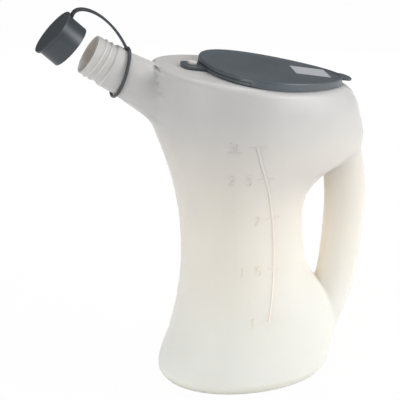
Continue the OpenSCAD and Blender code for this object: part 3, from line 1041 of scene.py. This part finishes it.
@dataclass(frozen=True)
class JugShell:
    """The blow moulding: outer and inner skin, neck with its thread, and the filling collar."""

    form: JugForm
    fan: Fan
    lid: LidPlace
    collar_in: float = 2.3
    collar_h: float = 4.0
    edge: float = 0.6
    thread_pitch: float = 5.2
    thread_turns: float = 2.3
    thread_start: float = 3.2
    thread_half_w: float = 1.25
    thread_step: float = 0.35

    def build(self) -> bpy.types.Object:
        """Build the shell as one closed mesh.

        Returns:
            The shell.
        """
        maker = SkinMaker(self.form, self.fan)
        bm = bmesh.new()
        outer = self.add_skin(bm, maker.lay(0.0))
        inner = self.add_skin(bm, maker.lay(self.form.wall))
        self.add_collar(bm, outer["shoulder"], inner["shoulder"])
        self.add_neck(bm, outer["spout"], inner["spout"])
        mesh = bpy.data.meshes.new("jug_shell")
        bmesh.ops.recalc_face_normals(bm, faces=bm.faces)
        bm.to_mesh(mesh)
        bm.free()
        obj = bpy.data.objects.new("jug_shell", mesh)
        bpy.context.scene.collection.objects.link(obj)
        smooth(obj, 40.0)
        return obj

    def add_skin(self, bm: bmesh.types.BMesh, skin: Skin) -> dict[str, list[bmesh.types.BMVert]]:
        """Add a skin's points and faces, open where the collar and the neck follow.

        Args:
            bm: the mesh being built.
            skin: the grid of points.

        Returns:
            The open loops of the shoulder and of the spout.
        """
        rows, cols = skin.grid.shape[:2]
        mirror = np.array([1, -1, 1])
        near = [[bm.verts.new(p * MM) for p in row] for row in skin.grid]
        far = [[bm.verts.new(p * MM) for p in row] for row in skin.grid * mirror]
        for i in range(rows):
            k = (i + 1) % rows
            for j in range(cols - 1):
                bm.faces.new((near[i][j], near[i][j + 1], near[k][j + 1], near[k][j]))
                bm.faces.new((far[k][j], far[k][j + 1], far[i][j + 1], far[i][j]))
            bm.faces.new((near[i][0], near[k][0], far[k][0], far[i][0]))
            open_here = {skin.ends[i], skin.ends[k]} in ({Ends.SHOULDER.value}, {Ends.SPOUT.value})
            if not open_here:
                bm.faces.new((near[i][-1], far[i][-1], far[k][-1], near[k][-1]))
        loops = {}
        for name, kind in (("shoulder", Ends.SHOULDER), ("spout", Ends.SPOUT)):
            own = [i for i in range(rows) if skin.ends[i] == kind.value]
            loops[name] = [near[i][-1] for i in own] + [far[i][-1] for i in reversed(own)]
        return loops

    def ring(self, bm: bmesh.types.BMesh, points: np.ndarray) -> list[bmesh.types.BMVert]:
        """Add a ring of points."""
        return [bm.verts.new(p * MM) for p in points]

    def join(self, bm: bmesh.types.BMesh, a: list[bmesh.types.BMVert], b: list[bmesh.types.BMVert]) -> None:
        """Join two rings of the same number of points with quads.

        Args:
            bm: the mesh being built.
            a: the first ring.
            b: the second ring.
        """
        for i in range(len(a)):
            k = (i + 1) % len(a)
            bm.faces.new((a[i], a[k], b[k], b[i]))

    def fill(self, bm: bmesh.types.BMesh, *loops: list[bmesh.types.BMVert]) -> None:
        """Fill the flat area between closed loops.

        Args:
            bm: the mesh being built.
            *loops: the loops that bound it.
        """
        edges = []
        for loop in loops:
            for a, b in zip(loop, loop[1:] + loop[:1]):
                edges.append(bm.edges.get((a, b)) or bm.edges.new((a, b)))
        bmesh.ops.triangle_fill(bm, use_beauty=True, edges=edges)

    def add_collar(
        self, bm: bmesh.types.BMesh, outer: list[bmesh.types.BMVert], inner: list[bmesh.types.BMVert]
    ) -> None:
        """Add the flat shoulder and the collar that the lid snaps over.

        Args:
            bm: the mesh being built.
            outer: the outer skin's open loop.
            inner: the inner skin's open loop.
        """
        wall = self.form.wall
        section = rounded(
            [
                (self.collar_in, 0.0),
                (self.collar_in, self.collar_h),
                (self.collar_in + wall, self.collar_h),
                (self.collar_in + wall, -wall),
            ],
            self.edge,
        )
        rings = [self.ring(bm, self.lid.edge(inset, up)) for inset, up in section]
        for a, b in zip(rings, rings[1:]):
            self.join(bm, a, b)
        self.fill(bm, outer, rings[0])
        self.fill(bm, inner, rings[-1])

    def thread(self, along: float, turn: np.ndarray) -> np.ndarray:
        """Height of the helical thread at a distance from the mouth and at angles round it.

        Args:
            along: distance from the spout's root.
            turn: angles round the spout, in radians.

        Returns:
            The heights over the plain neck.
        """
        depth = self.form.spout_len - along - self.thread_start
        turns = (depth - self.thread_pitch * turn / (2 * np.pi)) / self.thread_pitch
        near = np.abs(turns - np.round(turns)) * self.thread_pitch
        ridge = np.clip(1 - near / self.thread_half_w, 0, 1)
        whole = np.round(turns) + turn / (2 * np.pi)
        fade = eased((whole + 0.02) / 0.12) * eased((self.thread_turns - whole) / 0.15)
        return self.form.thread_h * eased(ridge * 1.4) * fade

    def add_neck(
        self, bm: bmesh.types.BMesh, outer: list[bmesh.types.BMVert], inner: list[bmesh.types.BMVert]
    ) -> None:
        """Add the neck outside and in, with the thread and the rounded lip.

        Args:
            bm: the mesh being built.
            outer: the outer skin's open loop.
            inner: the inner skin's open loop.
        """
        form = self.form
        end, edge = form.spout_len, self.edge
        core = end - form.thread_len
        stations = [(a, form.spout_r(a)) for a in (18.0, 20.0, 22.0)]
        stations += [(form.cone_len, form.neck_r), (28.0, form.neck_r), (34.0, form.neck_r)]
        stations += [(core - 0.3, form.neck_r), (core, form.neck_r - 0.1), (core + 0.5, form.neck_r - 0.8)]
        stations += [(core + 1.0, form.mouth_r + 0.2), (core + 1.4, form.mouth_r)]
        stations += [(a, form.mouth_r) for a in np.arange(core + 1.7, end - 0.9, self.thread_step)]
        lip = rounded([(end - 0.8, form.mouth_r), (end, form.mouth_r), (end, form.mouth_r - edge)], edge)
        stations += lip
        last = outer
        for along, r in stations:
            last = self.next_ring(bm, last, along, r, threaded=core + 1.0 < along < end - 0.9)
        mouth = last
        inside = [(20.0, form.spout_r(20.0) - form.wall), (form.cone_len, form.neck_r - form.wall)]
        inside += [(core, form.neck_r - form.wall), (core + 1.0, form.mouth_r - form.wall)]
        inside += [(end - 0.5, form.mouth_r - form.wall), (end, form.mouth_r - form.wall + 0.4)]
        last = inner
        for along, r in inside:
            last = self.next_ring(bm, last, along, r, threaded=False)
        self.fill(bm, mouth, last)

    def next_ring(
        self, bm: bmesh.types.BMesh, last: list[bmesh.types.BMVert], along: float, r: float, threaded: bool
    ) -> list[bmesh.types.BMVert]:
        """Add the neck's next ring, point for point over the last one.

        Args:
            bm: the mesh being built.
            last: the last ring.
            along: distance from the spout's root.
            r: the neck's radius there.
            threaded: whether the thread is raised on it.

        Returns:
            The new ring.
        """
        form = self.form
        origin = Vector((form.root[0], 0, form.root[1]))
        axis = Vector((form.spout_dir[0], 0, form.spout_dir[1]))
        up = Vector((form.spout_up[0], 0, form.spout_up[1]))
        gone = [v.co / MM - origin for v in last]
        turn = np.array([math.atan2(g.y, g.dot(up)) % (2 * math.pi) for g in gone])
        reach = np.full(len(turn), r) + (self.thread(along, turn) if threaded else 0.0)
        points = [
            origin + axis * along + (up * math.cos(t) + Vector((0, 1, 0)) * math.sin(t)) * q
            for t, q in zip(turn, reach)
        ]
        ring = [bm.verts.new(p * MM) for p in points]
        self.join(bm, last, ring)
        return ring


@dataclass(frozen=True)
class Stud:
    """The moulded stud that holds the lid's tongue."""

    lid: LidPlace
    r: float = 3.6
    h: float = 6.0
    head_r: float = 4.3
    head_h: float = 2.6
    out: float = 9.0

    def build(self) -> bpy.types.Object:
        """Build the stud with its snap head.

        Returns:
            The stud.
        """
        section = rounded(
            [
                (0.0, -1.5),
                (self.r, -1.5),
                (self.r, self.h - self.head_h - 0.3),
                (self.head_r, self.h - self.head_h),
                (self.head_r - 0.3, self.h),
                (0.0, self.h),
            ],
            0.9,
        )
        obj = lathe("tether_stud", section, 48)
        obj.data.transform(Matrix.Translation((-(self.lid.length / 2 + self.out) * MM, 0, 0)))
        obj.matrix_world = self.lid.matrix()
        apply_place(obj)
        smooth(obj)
        return obj


@dataclass(frozen=True)
class Scale:
    """The embossed volume scale: an upright line, ticks and plain figures."""

    form: JugForm
    back: float = 73.0
    tick_half: float = 8.0
    figure_h: float = 9.0
    line_w: float = 1.0
    upright_w: float = 2.2
    rise: float = 0.45
    section: tuple[Point, ...] = ((-0.5, -0.3), (-0.34, 1.0), (0.0, 1.25), (0.34, 1.0), (0.5, -0.3))
    marks: tuple[tuple[float, str], ...] = (
        (0.25, "1"), (0.418, "1.5"), (0.586, "2"), (0.726, "2.5"), (0.832, "3L"),
    )

    def figure(self, name: str) -> list[list[Point]]:
        """Give the strokes of a figure, in a square from 0 to 1.

        Args:
            name: the figure.

        Returns:
            Its strokes, each a line of points.
        """
        bowl = [(math.cos(a), math.sin(a)) for a in np.linspace(math.pi * 0.75, -math.pi / 2, 9)]
        strokes = {
            "1": [[(0.25, 0.75), (0.6, 1.0), (0.6, 0.0)]],
            "2": [[(0.5 + 0.45 * c, 0.72 + 0.28 * s) for c, s in bowl[:7]] + [(0.05, 0.0), (1.0, 0.0)]],
            "3": [
                [(0.45 + 0.42 * c, 0.77 + 0.23 * s) for c, s in bowl],
                [(0.45 + 0.5 * math.cos(a), 0.27 + 0.27 * math.sin(a)) for a in np.linspace(1.57, -2.4, 10)],
            ],
            "5": [
                [(0.9, 1.0), (0.15, 1.0), (0.1, 0.55)]
                + [(0.45 + 0.48 * math.cos(a), 0.3 + 0.3 * math.sin(a)) for a in np.linspace(2.2, -2.4, 11)]
            ],
            "L": [[(0.1, 1.0), (0.1, 0.0), (0.9, 0.0)]],
            ".": [[(0.4, 0.0), (0.4, 0.08)]],
        }
        return strokes[name]

    def x(self, z: float) -> float:
        """Place of the upright line at a height."""
        share = np.array([z / self.form.shoulder_h])
        return float(self.form.front(share)[0]) * self.form.front_reach + self.back

    def strokes(self) -> list[tuple[list[Point], float]]:
        """Give all strokes as points in the middle plane, each with its width.

        Returns:
            Pairs of a line of points and a width.
        """
        out: list[tuple[list[Point], float]] = []
        h = self.form.shoulder_h
        width = 0.55 * self.figure_h
        step = width + 2.6 * self.line_w
        for share, name in self.marks:
            z = share * h
            x = self.x(z)
            out.append(([(x - self.tick_half, z), (x, z), (x + self.tick_half, z)], self.line_w))
            start = x - self.tick_half - 2 * self.line_w - len(name) * step
            for i, letter in enumerate(name):
                for line in self.figure(letter):
                    left, low = start + i * step, z - self.figure_h / 2
                    out.append(([(left + a * width, low + b * self.figure_h) for a, b in line], self.line_w))
        heights = np.linspace(self.marks[0][0] * h, self.marks[-1][0] * h, 25)
        out.append(([(self.x(z), z) for z in heights], self.upright_w))
        return out

    def build(self) -> bpy.types.Object:
        """Build the raised strokes, which follow the wall.

        Returns:
            The scale as one piece.
        """
        verts: list[Vector] = []
        faces: list[tuple[int, ...]] = []
        for line, width in self.strokes():
            points = self.fine(line)
            n = len(points)
            rows = []
            for i, p in enumerate(points):
                d = points[min(i + 1, n - 1)] - points[max(i - 1, 0)]
                side = np.array([-d[1], d[0]]) / max(np.linalg.norm(d), 1e-9)
                tip = 0.35 if i in (0, n - 1) else 1.0
                row = []
                for across, out in self.section:
                    q = p + side * across * width * (0.6 + 0.4 * tip)
                    height = self.rise * (out if out < 0 else out * tip)
                    row.append(len(verts))
                    verts.append(self.form.wall_point(float(q[0]), float(q[1]), height))
                rows.append(row)
            for a, b in zip(rows, rows[1:]):
                for j in range(len(a) - 1):
                    faces.append((a[j], b[j], b[j + 1], a[j + 1]))
                faces.append((a[-1], b[-1], b[0], a[0]))
            faces.append(tuple(rows[0]))
            faces.append(tuple(reversed(rows[-1])))
        obj = new_object("volume_scale", verts, faces)
        tidy(obj, 0.001)
        smooth(obj, 50.0)
        return obj

    def fine(self, line: list[Point], step: float = 1.0) -> list[np.ndarray]:
        """Cut a stroke into short steps so that it follows the wall.

        Args:
            line: the stroke's points.
            step: the longest step.

        Returns:
            The finer points.
        """
        out = [np.array(line[0], float)]
        for a, b in zip(line, line[1:]):
            p, q = np.array(a, float), np.array(b, float)
            n = max(int(np.linalg.norm(q - p) / step), 1)
            out += [p + (q - p) * (i + 1) / n for i in range(n)]
        return out


@dataclass(frozen=True)
class FillingLid:
    """The snap-on lid, its pull tab and its tether."""

    lid: LidPlace
    h: float = 7.0
    plate: float = 1.8
    skirt: float = 2.0
    rim_rise: float = 1.2
    rim_w: float = 2.6
    tab_out: float = 9.0
    tab_w: float = 26.0
    band_h: float = 3.0
    band_slot: float = 0.9
    band_half_angle: float = 54.0
    tongue_w: float = 27.0
    tongue_out: float = 19.0
    tongue_t: float = 2.6
    hole_r: float = 3.9
    hole_out: float = 9.0
    soft_edge: float = 0.6
    groove_r: float = 0.5
    groove_first: float = 1.2
    groove_pitch: float = 1.7
    groove_count: int = 3
    label_size: Point = (32.0, 35.0)
    label_place: Point = (37.0, 4.0)
    label_turn: float = -7.5
    label_t: float = 0.18
    label_lift: float = 0.12

    def seat(self, obj: bpy.types.Object) -> None:
        """Seat a piece from the shoulder's frame on the jug."""
        obj.matrix_world = self.lid.matrix(self.lid.gap)
        apply_place(obj)

    def make_egg(self, obj: bpy.types.Object) -> None:
        """Turn a round piece into the lid's egg shape."""
        points = np.array([v.co for v in obj.data.vertices], float)
        for v, p in zip(obj.data.vertices, self.lid.egg(points)):
            v.co = p

    def cut(self, obj: bpy.types.Object, cutter: bpy.types.Object, operation: str = "DIFFERENCE") -> None:
        """Cut a piece with another, which is then removed."""
        apply_modifier(obj, "BOOLEAN", object=cutter, operation=operation, solver="EXACT")
        bpy.data.objects.remove(cutter)

    def sector(self, half_angle: float, low: float, high: float, inner: float) -> bpy.types.Object:
        """Give a block that covers a sector at the lid's front, outside an inner radius.

        Args:
            half_angle: half of the sector, in degrees.
            low: height of its underside.
            high: height of its top.
            inner: the inner radius.

        Returns:
            The block.
        """
        angles = np.radians(np.linspace(180 - half_angle, 180 + half_angle, 49))
        rows = [(inner, low), (self.lid.length, low), (self.lid.length, high), (inner, high)]
        verts = [(r * math.cos(a), r * math.sin(a), z) for a in angles for r, z in rows]
        faces: list[tuple[int, ...]] = []
        for i in range(len(angles) - 1):
            for j in range(4):
                k = (j + 1) % 4
                faces.append((4 * i + j, 4 * i + k, 4 * i + 4 + k, 4 * i + 4 + j))
        faces.append((3, 2, 1, 0))
        last = 4 * (len(angles) - 1)
        faces.append((last, last + 1, last + 2, last + 3))
        obj = new_object("sector", verts, faces)
        tidy(obj)
        return obj

    def tab(self, name: str, reach: float, width: float, thick: float, start: float) -> bpy.types.Object:
        """Give a flat tab with a round end and soft edges, along +X from a start.

        Args:
            name: the piece's name.
            reach: how far it stands out from the start.
            width: its width.
            thick: its thickness.
            start: its start along X.

        Returns:
            The tab.
        """
        steps = 28
        middle = reach - width / 4
        outline = [(start - 2.0, -width / 2)]
        for i in range(steps + 1):
            a = math.radians(-90 + 180 * i / steps)
            outline.append((start + middle + width / 4 * math.cos(a), width / 2 * math.sin(a)))
        outline.append((start - 2.0, width / 2))
        obj = new_object(name, [(x, y, 0.0) for x, y in outline], [tuple(range(len(outline)))])
        only(obj)
        bpy.ops.object.mode_set(mode="EDIT")
        bpy.ops.mesh.select_all(action="SELECT")
        bpy.ops.mesh.extrude_region_move(TRANSFORM_OT_translate={"value": (0, 0, thick * MM)})
        bpy.ops.object.mode_set(mode="OBJECT")
        tidy(obj)
        return obj

    def build_lid(self) -> bpy.types.Object:
        """Build the lid's plate, skirt and raised rim.

        Returns:
            The lid.
        """
        r, top = self.lid.length / 2, self.h - self.rim_rise
        under = top - self.plate
        section = [(0.0, under), (r - self.skirt - 2.0, under), (r - self.skirt, under - 0.8)]
        section += [(r - self.skirt, 0.0), (r, 0.0), (r, self.h - 0.9), (r - 0.5, self.h)]
        section += [(r - self.rim_w + 0.3, self.h), (r - self.rim_w - 0.7, top), (r - 9.0, top - 0.25)]
        section += [(r - 30.0, top - 0.1), (0.0, top)]
        obj = lathe("filling_lid", rounded(section, 0.55, 3), 160)
        self.make_egg(obj)
        slot = self.sector(self.band_half_angle, -1.0, self.band_h + self.band_slot, r - 2 * self.skirt)
        self.make_egg(slot)
        self.cut(obj, slot)
        self.seat(obj)
        smooth(obj, 38.0)
        return obj

    def build_tab(self) -> bpy.types.Object:
        """Build the pull tab with soft edges.

        Returns:
            The tab.
        """
        start = self.lid.length / 2 - 0.4
        obj = self.tab("lid_pull_tab", self.tab_out + 0.4, self.tab_w, self.plate, start)
        obj.data.transform(Matrix.Translation((0, 0, (self.h - self.rim_rise - self.plate) * MM)))
        apply_modifier(obj, "BEVEL", width=self.soft_edge * MM, segments=3, limit_method="ANGLE")
        self.seat(obj)
        smooth(obj)
        return obj

    def build_tether(self) -> bpy.types.Object:
        """Build the band along the lid's front edge, the ribbed hinge and the tongue with its eye.

        Returns:
            The tether.
        """
        r = self.lid.length / 2
        box = [(r - self.skirt, 0.0), (r, 0.0), (r, self.band_h), (r - self.skirt, self.band_h)]
        section = rounded(box + [box[0]], 0.35, 2)
        band = lathe("lid_tether_piece", section, 240)
        self.make_egg(band)
        keep = self.sector(self.band_half_angle - 0.3, -2.0, self.band_h + 2.0, 0.3 * r)
        self.make_egg(keep)
        self.cut(band, keep, "INTERSECT")
        tongue = self.tab("tongue", self.tongue_out + 0.6, self.tongue_w, self.tongue_t, 0.0)
        tongue.data.transform(Matrix.Rotation(math.pi, 4, "Z"))
        tongue.data.transform(Matrix.Translation((-(r - 0.6) * MM, 0, 0)))
        apply_modifier(tongue, "BEVEL", width=self.soft_edge * MM, segments=3, limit_method="ANGLE")
        bpy.ops.object.select_all(action="DESELECT")
        bpy.ops.mesh.primitive_cylinder_add(
            vertices=48,
            radius=self.hole_r * MM,
            depth=4 * self.tongue_t * MM,
            location=(-(r + self.hole_out) * MM, 0, 0),
        )
        eye = bpy.context.object
        apply_place(eye)
        self.cut(tongue, eye)
        self.cut(band, tongue, "UNION")
        for i in range(self.groove_count):
            self.cut(band, self.groove(-(r + self.groove_first + self.groove_pitch * i)))
        self.seat(band)
        smooth(band, 35.0)
        return band

    def groove(self, x: float) -> bpy.types.Object:
        """Give a cutter for one groove of the ribbed hinge across the tongue's neck.

        Args:
            x: its place along X.

        Returns:
            The cutter.
        """
        bpy.ops.object.select_all(action="DESELECT")
        bpy.ops.mesh.primitive_cylinder_add(
            vertices=16,
            radius=self.groove_r * MM,
            depth=0.6 * self.tongue_w * MM,
            location=(x * MM, 0, (self.tongue_t + 0.1) * MM),
            rotation=(math.pi / 2, 0, 0),
        )
        cutter = bpy.context.object
        apply_place(cutter)
        return cutter

    def build_label(self) -> bpy.types.Object:
        """Build the blank label as a thin sheet on the lid's plate.

        Returns:
            The label.
        """
        (length, width), (x, y) = self.label_size, self.label_place
        bpy.ops.object.select_all(action="DESELECT")
        bpy.ops.mesh.primitive_grid_add(x_subdivisions=24, y_subdivisions=24, size=1.0)
        obj = bpy.context.object
        obj.name = "lid_label"
        obj.scale = (length * MM, width * MM, 1)
        obj.rotation_euler = (0, 0, math.radians(self.label_turn))
        obj.location = (x * MM, y * MM, (self.h - self.rim_rise + self.label_lift) * MM)
        bpy.context.view_layer.update()
        apply_place(obj)
        apply_modifier(obj, "SOLIDIFY", thickness=self.label_t * MM, offset=0.0)
        self.seat(obj)
        smooth(obj, 50.0)
        return obj


@dataclass(frozen=True)
class SpoutCap:
    """The screw cap with its flange, the strap and the loose ring."""

    form: JugForm
    length: float = 21.0
    r: float = 20.1
    flange_t: float = 2.2
    flange_out: float = 1.85
    skirt_t: float = 0.9
    face_sink: float = 0.5
    face_rim_w: float = 5.0
    away: float = 37.0
    tilt: float = 11.0
    up: float = 1.8
    ring_r: float = 20.3
    ring_t: float = 3.0
    ring_at: float = 25.5
    ring_tilt: float = 11.5
    ring_drop: float = 0.25
    strap_w: float = 8.0
    strap_t: float = 2.2
    strap_rise: float = 34.0
    strap_reach: float = 11.0
    strap_from_angle: float = 25.0
    strap_to_angle: float = 20.0
    ring_lug: float = 4.0
    cap_lug: float = 2.2
    strap_lift: float = 0.8
    strap_soft: float = 0.5
    strap_root: float = 3.2
    strap_sink: float = 0.5

    def on_spout(self, along: float) -> Matrix:
        """Give the frame on the spout's axis, its Z towards the mouth, in metres.

        Args:
            along: distance from the spout's root in millimetres.

        Returns:
            The frame's matrix.
        """
        form = self.form
        turn = Matrix.Rotation(math.radians(form.spout_rise - 90), 4, "Y")
        return Matrix.Translation(Vector((form.root[0], 0, form.root[1])) * MM) @ turn @ Matrix.Translation(
            (0, 0, along * MM)
        )

    def cap_frame(self) -> Matrix:
        """Give the hanging cap's frame, its Z from the flange to the open rim.

        Returns:
            The frame's matrix.
        """
        lift = Matrix.Translation((self.up * MM, 0, 0))
        turn = Matrix.Rotation(math.radians(180 + self.tilt), 4, "Y")
        return self.on_spout(self.form.spout_len + self.away) @ lift @ turn

    def plane_point(self, frame_matrix: Matrix, across: float, along: float) -> np.ndarray:
        """Give a point of a frame's middle plane, in the jug's frame.

        Args:
            frame_matrix: the frame.
            across: place along its X.
            along: place along its Z.

        Returns:
            The point as X and Z in millimetres.
        """
        p = frame_matrix @ Vector((across * MM, 0, along * MM))
        return np.array([p.x, p.z]) / MM

    def strap_line(self, steps: int = 48) -> np.ndarray:
        """Give the strap's middle line in the middle plane, from the ring to the cap.

        Args:
            steps: number of steps along it.

        Returns:
            The points as X and Z.
        """
        tilt = math.radians(self.ring_tilt)
        middle_r = self.ring_r + self.ring_t / 2
        spout = self.on_spout(0.0)
        top = self.plane_point(
            spout,
            middle_r * math.cos(tilt) - self.ring_drop + self.strap_lift,
            self.ring_at + middle_r * math.sin(tilt) + self.ring_lug,
        )
        cap = self.cap_frame()
        foot = self.plane_point(cap, -self.r, self.flange_t + self.strap_t)
        a, b = math.radians(self.strap_from_angle), math.radians(self.strap_to_angle)
        from_dir = np.array([-math.sin(a), math.cos(a)])
        to_dir = self.plane_point(cap, -math.cos(b), -math.sin(b)) - self.plane_point(cap, 0, 0)
        end = foot + self.cap_lug * to_dir
        t = np.linspace(0, 1, steps + 1)[:, None]
        by_ring, by_cap = top + self.strap_rise * from_dir, end + self.strap_reach * to_dir
        return (1 - t) ** 3 * top + 3 * t * (1 - t) ** 2 * by_ring + 3 * t * t * (1 - t) * by_cap + t**3 * end

    def build_cap(self) -> bpy.types.Object:
        """Build the cap with its flange, its sunk face and its thin skirt.

        Returns:
            The cap.
        """
        fr, core, sink = self.r + self.flange_out, self.r - self.skirt_t, self.face_sink
        section = [(0.0, sink), (fr - self.face_rim_w, sink), (fr - self.face_rim_w + 0.8, 0.0)]
        section += [(fr, 0.0), (fr, self.flange_t)]
        section += [(self.r + 0.2, self.flange_t), (self.r, self.flange_t + 0.8), (self.r, self.length)]
        section += [(core, self.length), (core, self.flange_t), (0.0, self.flange_t)]
        obj = lathe("spout_cap_piece", rounded(section, 0.4, 3), 128)
        obj.matrix_world = self.cap_frame()
        apply_place(obj)
        smooth(obj)
        return obj

    def build_ring(self) -> bpy.types.Object:
        """Build the loose ring.

        Returns:
            The ring.
        """
        bpy.ops.object.select_all(action="DESELECT")
        bpy.ops.mesh.primitive_torus_add(
            major_segments=128,
            minor_segments=24,
            major_radius=(self.ring_r + self.ring_t / 2) * MM,
            minor_radius=self.ring_t / 2 * MM,
        )
        obj = bpy.context.object
        obj.name = "loose_ring"
        drop = Matrix.Translation((-self.ring_drop * MM, 0, 0))
        turn = Matrix.Rotation(math.radians(-self.ring_tilt), 4, "Y")
        obj.matrix_world = self.on_spout(self.ring_at) @ drop @ turn
        apply_place(obj)
        smooth(obj, 60.0)
        return obj

    def build_strap(self) -> bpy.types.Object:
        """Build the strap with rounded edges, rooted in the ring and in the cap's skirt.

        Returns:
            The strap.
        """
        line = self.strap_line()
        start, end = line[0] - line[1], line[-1] - line[-2]
        start, end = start / np.linalg.norm(start), end / np.linalg.norm(end)
        sunk = self.plane_point(self.cap_frame(), self.strap_sink - self.r, self.flange_t + self.strap_t)
        cap_in = sunk - line[-1]
        root = line[0] + self.strap_root * start - 0.6 * self.form.spout_dir
        line = np.vstack([root, line[0] + 1.2 * start, line])
        line = np.vstack([line, line[-1] + 0.5 * cap_in, line[-1] + cap_in])
        n = len(line)
        w, t, soft = self.strap_w / 2, self.strap_t / 2, self.strap_soft
        corners = [(w, -t + soft), (w - soft, -t), (-w + soft, -t), (-w, -t + soft)]
        corners += [(-w, t - soft), (-w + soft, t), (w - soft, t), (w, t - soft)]
        verts, faces = [], []
        for i in range(n):
            d = line[min(i + 1, n - 1)] - line[max(i - 1, 0)]
            normal = np.array([-d[1], d[0]]) / np.linalg.norm(d)
            for y, off in corners:
                p = line[i] + normal * off
                verts.append((p[0], y, p[1]))
        m = len(corners)
        for i in range(n - 1):
            for j in range(m):
                k = (j + 1) % m
                faces.append((m * i + j, m * i + k, m * i + m + k, m * i + m + j))
        faces.append(tuple(range(m - 1, -1, -1)))
        faces.append(tuple(m * (n - 1) + j for j in range(m)))
        obj = new_object("cap_strap_piece", verts, faces)
        tidy(obj)
        smooth(obj, 40.0)
        return obj


@dataclass(frozen=True)
class Studio:
    """Camera, floor and lamps."""

    target: Point3 = (-40.0, 0.0, 176.0)
    azimuth: float = -14.1
    elevation: float = 18.3
    distance: float = 1200.0
    px_per_mm: float = 1.1
    sensor: float = 36.0
    room: float = 0.55
    shine: float = 0.12

    def direction(self) -> Vector:
        """Direction from the target to the camera."""
        a, e = math.radians(self.azimuth), math.radians(self.elevation)
        return Vector((math.sin(a) * math.cos(e), -math.cos(a) * math.cos(e), math.sin(e)))

    def camera(self) -> None:
        """Place the camera where the photographer stood."""
        data = bpy.data.cameras.new("camera")
        data.sensor_width = self.sensor
        data.lens = self.px_per_mm * self.distance * self.sensor / PICTURE_PX
        obj = bpy.data.objects.new("camera", data)
        bpy.context.scene.collection.objects.link(obj)
        obj.location = (Vector(self.target) + self.direction() * self.distance) * MM
        obj.rotation_euler = (-self.direction()).to_track_quat("-Z", "Y").to_euler()
        bpy.context.scene.camera = obj

    def floor(self, material: bpy.types.Material) -> None:
        """Lay the studio paper.

        Args:
            material: the paper's material.
        """
        bpy.ops.object.select_all(action="DESELECT")
        bpy.ops.mesh.primitive_plane_add(size=8.0, location=(0, 0, -0.0002))
        obj = bpy.context.object
        obj.name = "studio_floor"
        apply_place(obj)
        obj.data.materials.append(material)

    def lamp(
        self, name: str, place: Point3, size: float, watts: float, tint: str = "#ffffff", mirrored: bool = True
    ) -> None:
        """Hang a soft box that looks at the jug.

        Args:
            name: the lamp's name.
            place: its place in metres.
            size: the side of the box in metres.
            watts: its power.
            tint: its sRGB hex colour.
            mirrored: whether it shows in reflections.
        """
        data = bpy.data.lights.new(name, "AREA")
        data.shape = "SQUARE"
        data.size = size
        data.energy = watts
        data.color = linear(tint)[:3]
        obj = bpy.data.objects.new(name, data)
        bpy.context.scene.collection.objects.link(obj)
        obj.location = place
        obj.visible_glossy = mirrored
        aim = Vector(self.target) * MM - Vector(place)
        obj.rotation_euler = aim.to_track_quat("-Z", "Y").to_euler()

    def world(self) -> None:
        """Give a pale room that the camera sees as white, and that reflections show dimly."""
        world = bpy.data.worlds.new("studio")
        bpy.context.scene.world = world
        world.use_nodes = True
        tree = world.node_tree
        tree.nodes.clear()
        room = add_node(tree, "ShaderNodeBackground", {"Color": grey(1.0), "Strength": self.room})
        shine = add_node(tree, "ShaderNodeBackground", {"Color": grey(1.0), "Strength": self.shine})
        seen = add_node(tree, "ShaderNodeBackground", {"Color": grey(1.0), "Strength": 1.0})
        path = add_node(tree, "ShaderNodeLightPath")
        lit = add_node(
            tree,
            "ShaderNodeMixShader",
            {0: path.outputs["Is Glossy Ray"], 1: room.outputs["Background"], 2: shine.outputs["Background"]},
        )
        mix = add_node(
            tree,
            "ShaderNodeMixShader",
            {0: path.outputs["Is Camera Ray"], 1: lit.outputs["Shader"], 2: seen.outputs["Background"]},
        )
        output = add_node(tree, "ShaderNodeOutputWorld")
        tree.links.new(mix.outputs["Shader"], output.inputs["Surface"])

    def build(self, floor_material: bpy.types.Material) -> None:
        """Set up the whole studio.

        Args:
            floor_material: the studio paper's material.
        """
        bpy.context.scene.view_settings.view_transform = "Standard"
        self.camera()
        self.floor(floor_material)
        self.lamp("right_box", (1.3, -0.7, 0.7), 0.9, 17.0)
        self.lamp("left_box", (-1.3, -1.0, 0.4), 0.9, 9.0)
        self.lamp("top_box", (0.1, 0.3, 1.6), 1.0, 7.0)
        self.lamp("back_box", (0.5, 1.3, 0.5), 0.8, 9.0, "#fff3e6", False)
        self.world()


def main() -> None:
    """Build and dress every piece in order."""
    logging.basicConfig(level=logging.INFO, format="%(name)s: %(message)s")
    form = JugForm()
    place = LidPlace(form)
    materials: dict[str, bpy.types.Material] = {}
    shell = JugShell(form, Fan(form), place)
    finish_piece(shell.build(), MILK, Body.JUG, materials, ("jug",))
    finish_piece(Stud(place).build(), MILK, Body.JUG, materials)
    finish_piece(Scale(form).build(), MILK_RELIEF, Body.JUG, materials)
    lid = FillingLid(place)
    finish_piece(lid.build_lid(), LID_GREY, Body.LID, materials, ("lid",))
    finish_piece(lid.build_tab(), LID_GREY, Body.LID, materials)
    finish_piece(lid.build_tether(), LID_GREY, Body.JUG, materials, ("lid_tether",))
    finish_piece(lid.build_label(), LABEL_WHITE, Body.LID, materials, ("label",))
    cap = SpoutCap(form)
    finish_piece(cap.build_cap(), CAP_GREY, Body.CAP, materials, ("spout_cap",))
    finish_piece(cap.build_strap(), CAP_GREY, Body.CAP, materials, ("cap_strap",))
    finish_piece(cap.build_ring(), CAP_GREY, Body.RING, materials, ("neck_ring",))
    Studio().build(STUDIO_WHITE.material())


if __name__ == "__main__":
    main()
